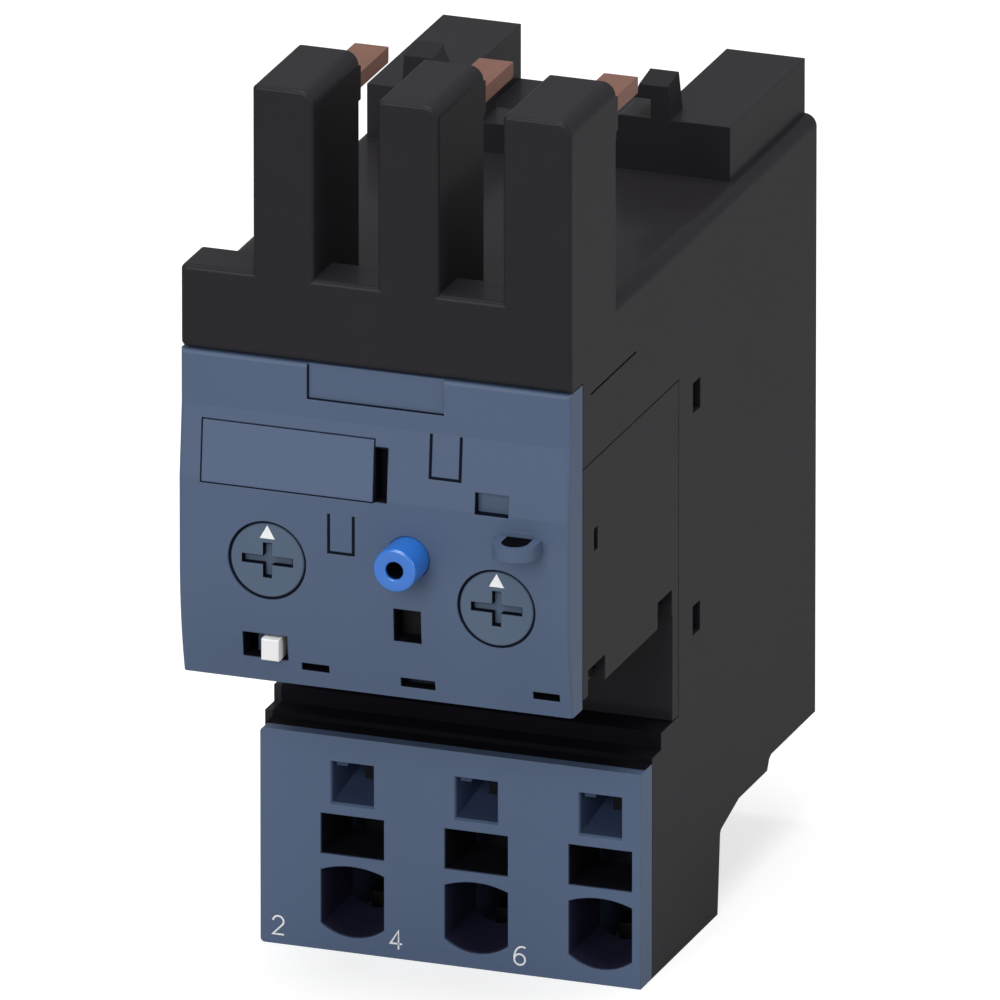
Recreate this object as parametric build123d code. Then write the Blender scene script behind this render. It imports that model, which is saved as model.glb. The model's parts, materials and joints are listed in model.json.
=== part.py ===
from build123d import *
import os

# Electronic overload relay for three poles, with plug-in copper pins above and spring clamp entries below.
# Modelled in mm with X from the left side to the right, Y from the front to the back and Z up.
# Sizes below are counted from the left side, the front of the upper comb and the bottom face.

# Poles: the pins above and the clamps below share one pitch, and set the housing's width
pole_count = 3
pole_pitch = 14.4
side_margins = 1.8
last_pin_inset = 4.34
last_entry_inset = 4.7

# Housing
housing_width = pole_count * pole_pitch + side_margins
middle_x = housing_width / 2
housing_back = 79.2
deck_height = 82.5
wall = 1.2
deck_wall = 1.5
fit_gap = 0.1
seam_gap = 0.15
deck_round = 1.4
small_round = 0.5

# Comb of three pillars in front of the contactor space, with its heights counted from the deck
comb_drop = 5.8
comb_rise = 3.7
comb_bar_depth = 6.0
comb_round = 0.65
pillar_rise = 25.2
pillar_depth = 14.2
pillar_lip_depth = 0.7
pillar_lip_low = 5.7
pillar_lip_high = 1.8
pillar_left = 3.5
pillar_right = 3.55
pillar_ridge_round = 1.6

# Blocks behind the contactor space, with the posts that hook into the contactor
rear_block_front = 54.9
rear_block_height = 6.35
rear_block_inset = 1.4
rear_block_width = 9.1
rear_shoulder_width = 4.1
rear_shoulder_round = 0.6
bridge_height = 3.5
bridge_depth = 5.1

# Hook posts, each from its outer edge towards the middle
left_post_x = 5.85
right_post_inset = 8.7
post_width = 3.25
post_tip = 3.85
post_stem = 1.9
post_flare = 0.45
post_hook_height = 2.2
post_front_height = 3.8
post_back_height = 4.4
post_depth = 3.6
post_back_lean = 0.5

# Underside of the housing, from the upright wall behind the terminal block to the back
foot_back = 47.4
foot_lean = 0.8
knee_height = 9.2
knee_bend = (0.3, 0.4)
step_height = 11.2
step_front = 54.3
step_back = 63.5
heel_rise = 0.7
heel_bend = (0.6, 0.3)
heel_height = 12.7
partition_top = 24.0

# Shallow grooves across the plate that closes the back
rear_groove_heights = (28.0, 48.0, 68.0)
rear_groove_width = 1.2
rear_groove_depth = 0.4
rear_groove_margin = 9.0

# Electronics module, hung below the deck, and the open bay below it
module_top_drop = 15.75
module_bottom_drop = 42.4
module_front = 3.9
module_back = 34.6
module_leg_front = 32.6
bay_floor = 27.6
bay_step_back = 29.05
bay_step_height = 25.65

# Front cover, with the ends of its flat middle and its crease counted from its top
cover_lap = 1.0
cover_seam = 0.2
cover_bulge = 0.75
cover_flat_ends = (24.5, 14.5)
cover_crease_drop = 6.2
cover_lower_set_back = 0.7
cover_plate_back = 2.0
cover_rim = 1.5
cover_round = 0.5

# Front controls, as (across, up) and (left, right, low, high), counted up from the module's bottom
# and across from the left side, from the middle for the button and the indicator, and from the right side
left_dial_spot = (10.25, 13.4)
right_dial_spot = (8.3, 11.1)
dial_radius = 4.23
dial_gap = 0.3
dial_thickness = 2.0
dial_sunk = 0.12
dial_edge = 0.12
dial_slot_width = 1.05
dial_slot_half_length = 2.97
dial_slot_half_height = 2.03
dial_slot_depth = 0.9
dial_stem_radius = 1.5
dial_stem_end = 11.0
running_gap = 0.06
reset_spot = (4.0, 15.7)
reset_radius = 2.45
reset_reach = 4.3
reset_hole_radius = 1.02
reset_hole_depth = 2.2
reset_flange_radius = 3.1
reset_flange = 0.9
reset_stem_radius = 1.2
reset_travel = 2.3
reset_edge = 0.3
reset_stem_gap = 0.2
reset_spring_wire = 0.22
reset_spring_turns = 4
reset_spring_spread = 0.55
reset_spring_seat = 0.05
slide_opening = (7.2, 12.4, 1.85, 4.75)
knob_width = 2.05
knob_height = 2.45
knob_reach = 1.22
knob_side_gap = 0.65
knob_drop = 0.05
knob_round = 0.15
slide_travel = 2.3
slide_plate = 1.0
slide_plate_side = 1.4
slide_plate_lap = 0.7
slide_tail_half = 0.5
slide_tail_length = 1.6
trip_opening = (2.3, 5.5, 5.9, 9.7)
trip_travel = 1.6
flag_gap = 0.25
flag_thickness = 1.0
flag_height = 3.6
flag_lap = 0.2
flag_drop = 0.1
flag_foot_inset = 0.3
flag_foot_height = 2.8

# Cover details as (left, right, low, high): the first three counted down from the cover's top
label_recess = (2.5, 22.6, 14.9, 7.6)
label_gap = 0.18
label_bed = 1.0
pry_recess = (22.6, 24.1, 14.8, 8.5)
pry_slot_bed = 1.6
upper_tongue = (16.2, 12.4, 11.4, 6.3)
lower_tongue = (17.2, 20.4, 15.1, 19.7)
top_tab_half = 7.9
top_tab_drop = 4.1
top_tab_sunk = 0.35
tongue_slit = 0.35
tongue_web = 0.6
right_recess = (10.8, 6.9, 21.7, 24.2)
shallow_recess_bed = 0.3
left_vent = (13.9, 17.1, 0.9, 1.8)
middle_vent = (2.8, 6.8, 0.4, 1.5)
right_vent = (4.4, 1.3, 0.9, 1.8)
eyelet_spot = (5.8, 19.6)
eyelet_thickness = 1.1
eyelet_radius = 2.65
eyelet_hole_radius = 1.63
eyelet_root = 0.3
eyelet_pocket_rise = 0.25
eyelet_pocket_top = 0.6
eyelet_pocket_bed = 0.9

# Openings in the sides, as (front, back, low, high), in the module counted from its bottom
side_latch_windows = [(39.1, 41.5, 61.2, 64.7), (39.1, 41.5, 35.4, 38.8)]
module_openings = [(7.4, 8.6, 16.0, 18.6), (27.8, 32.4, -1.0, 3.0), (5.5, 11.0, -1.0, 2.9)]
side_opening_depth = 1.7
side_line = (6.4, 20.8)
side_line_drop = 2.15
side_line_width = 0.25
side_line_depth = 0.3

# Terminal block with one column of entries for each pole
block_front = 22.5
block_flange_back = 26.2
block_left = 0.8
block_top = 25.0
block_back = 46.0
side_wall = 1.05
entry_half_width = 3.7
entry_low = 1.72
entry_high = 10.03
entry_corner_low = 3.05
entry_corner_high = 9.33
driver_low = 11.18
driver_high = 15.92
probe_size = 5.08
probe_middle = 19.56
probe_depth = 5.0
probe_throat = 1.55
probe_throat_shift = (0.2, 1.7)
tunnel_back = 30.0
chamber_half_width = 2.9
chamber_floor = 1.0

# Copper bars from the pins through the transformers to the clamps
bar_thickness = 1.8
pin_width = 3.9
pin_drop = 4.2
pin_back = 28.8
bar_front_y = 10.1
bar_cross_drop = 7.5
bar_drop_y = 43.5
bar_inner_width = 2.6
bar_tail_z = 2.0
bar_tail_front = 34.0
bar_narrow_drop = 0.7
bar_widen_z = 33.5
bar_lap = 1.0
bar_bend = 1.9
pin_lead = 0.9
pin_lead_slope = 0.3

# Current transformers
core_z = (45.0, 51.0)
core_y = (39.5, 55.5)
core_left = 6.3
core_right = 3.0
core_window_left = 3.8
core_window_right = 1.0
core_yoke = 2.5
winding_wall = 1.3
winding_y = (43.0, 52.0)
winding_gap = 0.1
tray_thickness = 1.2
tray_y = (37.0, 58.0)
tray_clearance = 0.2
tray_pad = (2.6, 4.5)
tray_slot_half_depth = 1.5
tray_slot_margin = 2.0
ledge_height = 1.4

# Spring clamps
spring_width = 5.0
spring_thickness = 0.6
spring_top = 21.5
spring_front = 31.0
spring_back = 41.9
spring_end = 14.0
tongue_pivot_z = 17.2
tongue_tip = (36.0, 3.9)
spring_bow_radius = 2.5
spring_root_gap = 0.5
tongue_inset = 0.3
tongue_bend_drop = 1.2
tongue_bend_radius = 0.8

# Circuit board and what stands on it, counted up from the module's bottom
board_front = 12.0
board_thickness = 1.6
board_margin = 0.2
board_ribs = [(4.9, 6.9), (19.9, 21.9)]
board_cut_margin = 0.5
pot_size = 8.0
pot_front = 7.6
reset_switch_size = 6.0
reset_switch_front = 10.4
mode_switch_body = (4.5, 14.5, 1.5, 6.3)
mode_switch_front = 7.0
capacitor_radius = 2.3
capacitor_length = 3.2
capacitor_spots = [(5.5, 2.7), (10.9, 2.7)]
left_capacitor_spot = (6.0, 9.9)
chip_outline = (13.5, 6.5, 2.5, 9.5)
chip_thickness = 1.2

# Trip magnet and the contacts it works, with heights counted from the module's bottom
magnet_at = (14.0, 21.0)
yoke_width = 11.0
yoke_depth = 5.6
yoke_front_reach = 4.0
yoke_plunger_gap = 0.3
plunger_gap = 0.08
yoke_plate = 1.2
yoke_rise = 17.1
coil_radius = 4.5
plunger_radius = 1.65
plunger_rise = 6.9
carriage_rise = (18.9, 20.9)
carriage_left = 11.5
carriage_right_inset = 6.5
carriage_y = (18.5, 21.5)
carriage_arm_reach = (1.0, 2.6)
carriage_arm_y = (15.0, 17.0)
contact_post_inset = (9.0, 7.0)
bridge_inset = (12.5, 3.5)
bridge_y = (19.0, 21.0)
contact_sheet = 0.8
bridge_sheet = 0.5
nc_contact_rise = 15.4
no_contact_rise = 11.65
contact_gap = 0.1
contact_inset = 0.9
contact_overhang = 0.2
contact_bend = 0.6
contact_post_foot = 1.2
nc_blade_front = 29.8
no_blade_front = 26.2
blade_reach = 3.1
blade_width = 2.2
contact_holder_y = (22.6, 25.8)
contact_holder_side = 0.8
contact_holder_cap = 1.6

# Worked out from the sizes above: heights
comb_bottom = deck_height - comb_drop
comb_bar_top = deck_height + comb_rise
pillar_top = deck_height + pillar_rise
pin_top = pillar_top - pin_drop
bar_cross_z = deck_height - bar_cross_drop
bar_narrow_z = deck_height - bar_narrow_drop
module_top = deck_height - module_top_drop
module_bottom = deck_height - module_bottom_drop
cover_bottom = module_bottom - cover_lap
cover_top = comb_bottom - cover_seam
cover_flat_low = cover_top - cover_flat_ends[0]
cover_flat_high = cover_top - cover_flat_ends[1]
cover_crease = cover_top - cover_crease_drop
side_line_z = comb_bottom - side_line_drop
eyelet_top = module_bottom + eyelet_spot[1]
yoke_top = module_bottom + yoke_rise
plunger_bottom = module_bottom + plunger_rise
carriage_z = (module_bottom + carriage_rise[0], module_bottom + carriage_rise[1])
nc_contact_top = module_bottom + nc_contact_rise
no_contact_bottom = module_bottom + no_contact_rise
blade_bottom = module_bottom - blade_reach


def placed(box, across, up):
    """A box of (left, right, low, high), moved across and up from where it is counted."""
    left, right, low, high = box
    return (across + left, across + right, up + low, up + high)


def placed_right(box, up):
    """A box whose sides are counted from the right side."""
    left, right, low, high = box
    return (housing_width - left, housing_width - right, up + low, up + high)


# Worked out from the sizes above: places across and the openings
right_post_x = housing_width - right_post_inset
left_dial_at = (left_dial_spot[0], module_bottom + left_dial_spot[1])
right_dial_at = (housing_width - right_dial_spot[0], module_bottom + right_dial_spot[1])
reset_at = (middle_x + reset_spot[0], module_bottom + reset_spot[1])
slide_window = placed(slide_opening, 0, module_bottom)
trip_window = placed(trip_opening, middle_x, module_bottom)
label_field = (*label_recess[:2], cover_top - label_recess[2], cover_top - label_recess[3])
pry_slot = (*pry_recess[:2], cover_top - pry_recess[2], cover_top - pry_recess[3])
upper_tongue_outline = (housing_width - upper_tongue[0], housing_width - upper_tongue[1],
                        cover_top - upper_tongue[2], cover_top - upper_tongue[3])
tongue_outlines = [upper_tongue_outline, placed(lower_tongue, 0, module_bottom)]
shallow_recess = placed_right(right_recess, module_bottom)
vent_slots = [placed(left_vent, 0, module_bottom), placed(middle_vent, middle_x, module_bottom),
              placed_right(right_vent, module_bottom)]
eyelet_x = housing_width - eyelet_spot[0]
mode_switch_box = placed(mode_switch_body, 0, module_bottom)
chip_box = placed_right(chip_outline, module_bottom)
carriage_x = (carriage_left, housing_width - carriage_right_inset)
carriage_arm_x = (trip_window[1] + carriage_arm_reach[0], trip_window[1] + carriage_arm_reach[1])
contact_post_x = (housing_width - contact_post_inset[0], housing_width - contact_post_inset[1])
bridge_x = (housing_width - bridge_inset[0], housing_width - bridge_inset[1])
reset_front = -cover_bulge - reset_reach
middle_y = (reset_front + housing_back) / 2
knob_at = (slide_window[1] - knob_side_gap - knob_width / 2,
           (slide_window[2] + slide_window[3]) / 2 - knob_drop)
flag_back = cover_plate_back + flag_gap + flag_thickness
tray_top = core_z[0] - winding_wall - winding_gap - tray_clearance
pillar_base = deck_height - deck_wall
block_side_left = side_wall + fit_gap
block_side_right = housing_width - side_wall - fit_gap
poles_to_right = [pole_pitch * (pole_count - 1 - pole) for pole in range(pole_count)]
pin_xs = [housing_width - last_pin_inset - reach for reach in poles_to_right]
entry_xs = [housing_width - last_entry_inset - reach for reach in poles_to_right]
board_back = board_front + board_thickness
module_floor = module_bottom + wall
module_ceiling = module_top - seam_gap - wall


def block(x0, x1, y0, y1, z0, z1):
    """A box between two corners."""
    return Pos((x0 + x1) / 2, (y0 + y1) / 2, (z0 + z1) / 2) * Box(x1 - x0, y1 - y0, z1 - z0)


def side_shape(points, x0, x1):
    """A closed outline of (depth, height) points, carried from one side to the other."""
    outline = make_face(Polyline(*points, close=True))
    return Pos(x0, 0, 0) * extrude(Plane.YZ * outline, amount=x1 - x0)


def front_shape(outline, y0, y1):
    """A flat outline drawn as (across, up), carried back from one depth to another."""
    return extrude(Plane.XZ.offset(-y0) * outline, amount=y0 - y1)


def window(box, y0, y1):
    """A rectangle given as (left, right, low, high), carried back from one depth to another."""
    left, right, low, high = box
    return block(left, right, y0, y1, low, high)


def rod(x, z, radius, y0, y1):
    """A round rod along the depth."""
    return front_shape(Pos(x, z) * Circle(radius), y0, y1)


def post(x, y, radius, z0, z1):
    """A round rod that stands upright."""
    return Pos(x, y, (z0 + z1) / 2) * Cylinder(radius, z1 - z0)


def strip(points, thickness, radius, x0, x1):
    """A bent strip: its centre line in (depth, height) with rounded corners, carried across."""
    line = FilletPolyline(*points, radius=radius)
    return Pos(x0, 0, 0) * extrude(Plane.YZ * trace(line, thickness), amount=x1 - x0)


def pillar(x0, x1):
    """One comb pillar, rounded along its two ridges and round its front face."""
    height = pillar_top - pillar_base
    outline = Pos((x0 + x1) / 2, pillar_base + height / 2) * Rectangle(x1 - x0, height)
    corners = outline.vertices().group_by(Axis.Y)[-1].sort_by(Axis.X)
    outline = fillet(corners[-1], pillar_ridge_round)
    corners = outline.vertices().group_by(Axis.Y)[-1].sort_by(Axis.X)
    outline = fillet(corners[0], small_round)
    body = front_shape(outline, 0, pillar_depth)
    front = body.faces().sort_by(Axis.Y)[0]
    rim = [edge for edge in front.edges() if edge.center().Z > pillar_base + small_round]
    body = fillet(rim, small_round)
    return body + block(x0, x1, pillar_depth, pillar_depth + pillar_lip_depth, pillar_top - pillar_lip_low,
                        pillar_top - pillar_lip_high)


def comb():
    """The bar across the front, with its three pillars."""
    bar = block(0, housing_width, 0, comb_bar_depth, comb_bottom, comb_bar_top)
    front_rim = bar.edges().group_by(Axis.Y)[0]
    left_ends = bar.edges().filter_by(Axis.Y).group_by(Axis.X)[0]
    bar = fillet(front_rim + left_ends, comb_round)
    for x in pin_xs[:-1]:
        bar += pillar(x - pillar_left, x + pillar_right)
    return bar + pillar(pin_xs[-1] - pillar_left, housing_width)


def hook_post(x, inward):
    """A post on the front edge of a rear block, undercut on the side of the middle, with a sloping top."""
    foot = deck_height + rear_block_height
    root = foot - 1
    high = foot + post_back_height + 1
    outline = [(-post_flare, root), (0, high), (post_width, high), (post_width, foot + post_front_height),
               (post_tip, foot + post_hook_height), (post_stem, foot + post_hook_height), (post_stem, root)]
    front = rear_block_front
    from_front = front_shape(make_face(Polyline(*[(x + inward * u, z) for u, z in outline], close=True)),
                             front, front + post_depth + post_back_lean)
    from_side = side_shape([(front, root), (front, foot + post_front_height),
                            (front + post_depth, foot + post_back_height),
                            (front + post_depth + post_back_lean, root)], 0, housing_width)
    return from_front & from_side


def rear_blocks():
    """Two blocks and the low bridge between them, behind the contactor space."""
    top = deck_height + rear_block_height
    left = rear_block_inset
    right = housing_width - rear_block_inset
    inner_left = left + rear_block_width
    inner_right = right - rear_block_width
    front = rear_block_front
    shoulder_back = front + bridge_depth
    shoulders = [(inner_left, inner_left + rear_shoulder_width),
                 (inner_right - rear_shoulder_width, inner_right)]
    body = block(left, inner_left, front, housing_back, pillar_base, top)
    body += block(inner_right, right, front, housing_back, pillar_base, top)
    for x0, x1 in shoulders:
        shoulder = block(x0, x1, front, shoulder_back, pillar_base, top)
        upper = shoulder.edges().filter_by(Axis.Y).group_by(Axis.Z)[-1].sort_by(Axis.X)
        inner_edge = upper[-1] if x0 < middle_x else upper[0]
        body += fillet(inner_edge, rear_shoulder_round)
    body += block(inner_left, inner_right, front, shoulder_back, pillar_base, deck_height + bridge_height)
    body += hook_post(left_post_x, 1)
    body += hook_post(right_post_x, -1)
    return body


def block_hollows():
    """The space inside the two rear blocks, open to the housing below."""
    top = deck_height + rear_block_height - wall
    front = rear_block_front + wall
    back = housing_back - wall
    left = rear_block_inset + wall
    right = left + rear_block_width - 2 * wall
    hollow = block(left, right, front, back, pillar_base - 1, top)
    return hollow + block(housing_width - right, housing_width - left, front, back, pillar_base - 1, top)


def main_housing():
    """The black moulding: comb, deck, side walls and the stepped underside."""
    knee_back = foot_back + foot_lean
    comb_middle = comb_bar_depth / 2
    heel_front = step_back + heel_rise
    outside = side_shape([
        (comb_middle, comb_bottom), (comb_middle, deck_height), (housing_back, deck_height),
        (housing_back, heel_height),
        (heel_front + heel_bend[0], heel_height), (heel_front, heel_height - heel_bend[1]),
        (step_back, step_height), (step_front, step_height),
        (knee_back + knee_bend[0], knee_height + knee_bend[1]), (knee_back, knee_height),
        (foot_back, 0), (block_flange_back, 0), (block_flange_back, bay_step_height),
        (bay_step_back, bay_step_height), (bay_step_back, bay_floor), (module_back, bay_floor),
        (module_back, module_top), (module_front, module_top), (module_front, comb_bottom),
    ], 0, housing_width)
    ridges = outside.edges().filter_by(Axis.Y).group_by(Axis.Z)[-1]
    outside = fillet(ridges, deck_round)
    wall_back = foot_back - wall
    past_back = housing_back + 1
    before_block = block_front - 1
    inside = side_shape([
        (module_front + wall, module_top + wall), (module_front + wall, pillar_base),
        (past_back, pillar_base), (past_back, heel_height + wall), (heel_front, heel_height + wall),
        (step_back, step_height + wall), (step_front, step_height + wall),
        (foot_back, knee_height + 2 * wall), (foot_back, partition_top), (wall_back, partition_top),
        (wall_back, -1), (before_block, -1), (before_block, block_top), (bay_step_back + wall, block_top),
        (module_back + wall, bay_step_height), (module_back + wall, module_top + wall),
    ], side_wall, housing_width - side_wall)
    body = outside - inside + comb() + rear_blocks() - block_hollows()
    for x in pin_xs:
        body -= pin_channel(x)
    for front, back, low, high in side_latch_windows:
        body -= block(-1, housing_width + 1, front, back, low, high)
    groove = (*side_line, side_line_z - side_line_width / 2, side_line_z + side_line_width / 2)
    body -= block(-1, side_line_depth, *groove)
    body -= block(housing_width - side_line_depth, housing_width + 1, *groove)
    body += tray_ledge(side_wall, side_wall + wall)
    body += tray_ledge(housing_width - side_wall - wall, housing_width - side_wall)
    return body


def pin_channel(x):
    """The space in a pillar for its copper bar, and the slit that the pin comes out of."""
    half = pin_width / 2 + fit_gap
    reach = bar_thickness / 2 + fit_gap
    shaft = block(x - half, x + half, bar_front_y - reach, bar_front_y + bar_bend + reach,
                  pillar_base - 6, pin_top + fit_gap)
    slit = block(x - half, x + half, bar_front_y, pillar_depth + 1, pin_top - bar_thickness - fit_gap,
                 pin_top + fit_gap)
    return shaft + slit


def tray_ledge(x0, x1):
    """A ledge inside a side wall that carries the transformer tray."""
    top = tray_top - tray_thickness
    return block(x0, x1, *tray_y, top - ledge_height, top)


def rear_cover():
    """The plate that closes the housing from behind."""
    gap = side_wall + fit_gap
    plate = block(gap, housing_width - gap, housing_back - wall, housing_back,
                  heel_height + wall + fit_gap, pillar_base - fit_gap)
    margin = rear_groove_margin
    half = rear_groove_width / 2
    for height in rear_groove_heights:
        plate -= block(margin, housing_width - margin, housing_back - rear_groove_depth, housing_back + 1,
                       height - half, height + half)
    return plate


def module_housing():
    """The box of the electronics module, open to the front, with its leg behind the bay."""
    top = module_top - seam_gap
    back = module_back - seam_gap
    body = block(0, housing_width, module_front, back, module_bottom, top)
    body += block(0, housing_width, module_leg_front, back, bay_floor + seam_gap, module_bottom)
    body -= block(wall, housing_width - wall, module_front - 1, module_leg_front,
                  module_floor, module_ceiling)
    for opening in module_openings:
        box = placed(opening, 0, module_bottom)
        body -= block(-1, side_opening_depth, *box)
        body -= block(housing_width - side_opening_depth, housing_width + 1, *box)
    for low, high in board_ribs:
        for x0, x1 in ((wall, 2 * wall), (housing_width - 2 * wall, housing_width - wall)):
            body += block(x0, x1, board_back, module_leg_front, module_bottom + low, module_bottom + high)
    for x in contact_xs():
        half = blade_width / 2 + fit_gap
        for y0, y1 in (nc_blade_y(), no_blade_y()):
            body -= block(x - half, x + half, y0 - fit_gap, y1 + fit_gap, module_bottom - 1, module_floor + 1)
    return body


def cover_body():
    """The outside of the front cover as one solid: upright above, bulged in the middle, tucked in below."""
    with BuildSketch() as sketch:
        with BuildLine():
            bulge = (-cover_bulge, cover_flat_low)
            low = (cover_lower_set_back, cover_bottom)
            curve = TangentArc(bulge, low, tangent=(0, -1))
            Polyline(low, (module_front - seam_gap, cover_bottom), (module_front - seam_gap, cover_top),
                     (0, cover_top), (0, cover_crease), (-cover_bulge, cover_flat_high), bulge)
        make_face()
    body = extrude(Plane.YZ * sketch.sketch, amount=housing_width)
    side_edges = body.edges().group_by(Axis.X)[0] + body.edges().group_by(Axis.X)[-1]
    front_zone = cover_lower_set_back + fit_gap
    upright = [edge for edge in side_edges if edge.center().Y < front_zone and edge.bounding_box().size.Z > 1]
    top_front = body.edges().filter_by(Axis.X).group_by(Axis.Z)[-1].sort_by(Axis.Y)[0]
    return fillet(upright + [top_front], cover_round)


def eyelet():
    """The half ring for a seal, standing out of the cover with its hole upright."""
    plane = Plane((eyelet_x, -cover_bulge, eyelet_top - eyelet_thickness))
    ring = plane * (Circle(eyelet_radius) - Circle(eyelet_hole_radius))
    body = extrude(ring, amount=eyelet_thickness)
    reach = eyelet_radius + 1
    front_half = block(eyelet_x - reach, eyelet_x + reach, -cover_bulge - reach, -cover_bulge + eyelet_root,
                       eyelet_top - reach, eyelet_top + reach)
    return body & front_half


def front_cover():
    """The blue-grey cover with its openings for the controls."""
    body = cover_body()
    body -= block(cover_rim, housing_width - cover_rim, cover_plate_back, module_front + 1,
                  cover_bottom + cover_rim, cover_top - cover_rim)
    front = -cover_bulge - 5
    behind = cover_plate_back + 1
    for x, z in (left_dial_at, right_dial_at):
        body -= rod(x, z, dial_radius + dial_gap, front, behind)
    body -= rod(*reset_at, reset_radius + running_gap, front, behind)
    body -= window(slide_window, front, behind)
    body -= window(trip_window, front, behind)
    body -= window(label_field, front, label_bed)
    body -= window(pry_slot, front, pry_slot_bed)
    body -= block(middle_x - top_tab_half, middle_x + top_tab_half, front, top_tab_sunk,
                  cover_top - top_tab_drop, cover_top + 1)
    for box in tongue_outlines:
        body -= tongue_slits(box, front)
    body -= window(shallow_recess, front, shallow_recess_bed)
    for box in vent_slots:
        body -= window(box, front, behind)
    pocket = rod(eyelet_x, eyelet_top + eyelet_pocket_rise, eyelet_hole_radius, front, eyelet_pocket_bed)
    pocket &= block(eyelet_x - eyelet_radius, eyelet_x + eyelet_radius, front, behind,
                    eyelet_top - eyelet_thickness, eyelet_top + eyelet_pocket_top)
    return body - pocket + eyelet()


def tongue_slits(box, front):
    """A narrow U open at its top, cut into the cover."""
    left, right, low, high = box
    back = cover_plate_back - tongue_web
    slits = block(left, left + tongue_slit, front, back, low, high)
    slits += block(right - tongue_slit, right, front, back, low, high)
    return slits + block(left, right, front, back, low, low + tongue_slit)


def label_plate():
    """The bare snap-in plate that follows the slope of the cover."""
    left, right, low, high = label_field
    field = (left + label_gap, right - label_gap, low + label_gap, high - label_gap)
    return cover_body() & window(field, -2 * cover_bulge, label_bed)


def dial(centre):
    """A setting dial with a cross slot and the stem that turns its potentiometer."""
    x, z = centre
    front = -cover_bulge + dial_sunk
    body = rod(x, z, dial_radius, front, front + dial_thickness)
    body = chamfer(body.faces().sort_by(Axis.Y)[0].edges(), dial_edge)
    body += rod(x, z, dial_stem_radius, front + dial_thickness, dial_stem_end)
    half = dial_slot_width / 2
    bed = front + dial_slot_depth
    body -= block(x - dial_slot_half_length, x + dial_slot_half_length, front - 1, bed, z - half, z + half)
    body -= block(x - half, x + half, front - 1, bed, z - dial_slot_half_height, z + dial_slot_half_height)
    return body


def reset_button():
    """The blue button with its retaining flange and the stem that reaches the switch."""
    x, z = reset_at
    flange_front = cover_plate_back + running_gap
    body = rod(x, z, reset_radius, reset_front, flange_front + 0.1)
    body = chamfer(body.faces().sort_by(Axis.Y)[0].edges(), reset_edge)
    body += rod(x, z, reset_flange_radius, flange_front, flange_front + reset_flange)
    body += rod(x, z, reset_stem_radius, flange_front + reset_flange, reset_stem_end())
    return body - rod(x, z, reset_hole_radius, reset_front - 1, reset_front + reset_hole_depth)


def reset_stem_end():
    """Depth of the stem's end, just short of the switch when the button is pressed home."""
    return reset_switch_front - reset_travel - reset_stem_gap


def reset_spring():
    """The coil spring between the button's flange and the reset switch."""
    x, z = reset_at
    margin = reset_spring_wire + reset_spring_seat
    start = cover_plate_back + running_gap + reset_flange + margin
    length = reset_switch_front - margin - start
    coil_radius = reset_stem_radius + reset_spring_spread
    coil = Helix(pitch=length / reset_spring_turns, height=length, radius=coil_radius)
    section = Plane(coil @ 0, z_dir=coil % 0) * RegularPolygon(reset_spring_wire, 4)
    body = sweep(section, path=coil, is_frenet=True)
    return Pos(x, start, z) * Rot(-90, 0, 0) * body


def mode_slide():
    """The white selector: its knob, the plate behind the cover and the tail into the switch."""
    low, high = slide_window[2:]
    x, z = knob_at
    plate_front = cover_plate_back + running_gap
    plate_back = plate_front + slide_plate
    half = knob_width / 2
    body = block(x - half, x + half, -knob_reach, plate_back, z - knob_height / 2, z + knob_height / 2)
    body = fillet(body.faces().sort_by(Axis.Y)[0].edges(), knob_round)
    body += block(x - half - slide_plate_side, x + half + slide_plate_side, plate_front, plate_back,
                  low - slide_plate_lap, high + slide_plate_lap)
    half = slide_tail_half
    tail_back = mode_switch_front + slide_tail_length
    return body + block(x - half, x + half, plate_back, tail_back, z - half, z + half)


def mode_switch():
    """The slide switch on the board that the selector's tail moves."""
    x, z = knob_at
    half = slide_tail_half + fit_gap
    body = window(mode_switch_box, mode_switch_front, board_front)
    return body - block(x - half - slide_travel, x + half, mode_switch_front - 1,
                        mode_switch_front + slide_tail_length + 2 * fit_gap, z - half, z + half)


def trip_flag():
    """The indicator behind the square window, carried by the contact carriage."""
    left, right, low = trip_window[:3]
    low -= flag_drop
    front = cover_plate_back + flag_gap
    return block(left - flag_lap, right + flag_lap, front, flag_back, low, low + flag_height)


def terminal_entry(x):
    """The openings of one column: conductor entry, driver entry and the funnel for a test probe."""
    front = block_front - 1
    back = tunnel_back + 0.1
    with BuildSketch() as mouth:
        with BuildLine():
            half = entry_half_width
            ThreePointArc((-half, entry_corner_high), (0, entry_high), (half, entry_corner_high))
            Line((half, entry_corner_high), (half, entry_corner_low))
            ThreePointArc((half, entry_corner_low), (0, entry_low), (-half, entry_corner_low))
            Line((-half, entry_corner_low), (-half, entry_corner_high))
        make_face()
    cut = front_shape(Pos(x, 0) * mouth.sketch, front, back)
    cut += block(x - half, x + half, front, back, driver_low, driver_high)
    mouth_plane = Plane.XZ.offset(-block_front)
    throat_plane = Plane.XZ.offset(-block_front - probe_depth)
    across, up = probe_throat_shift
    wide = mouth_plane * (Pos(x, probe_middle) * Rectangle(probe_size, probe_size))
    slim = throat_plane * (Pos(x + across, probe_middle + up) * Rectangle(probe_throat, probe_throat))
    return cut + loft([wide, slim])


def clamp_chamber(x):
    """The room for one clamp behind the entries, open above for the copper bar."""
    half = chamber_half_width
    return block(x - half, x + half, tunnel_back, block_back, chamber_floor, block_top + 1)


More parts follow.
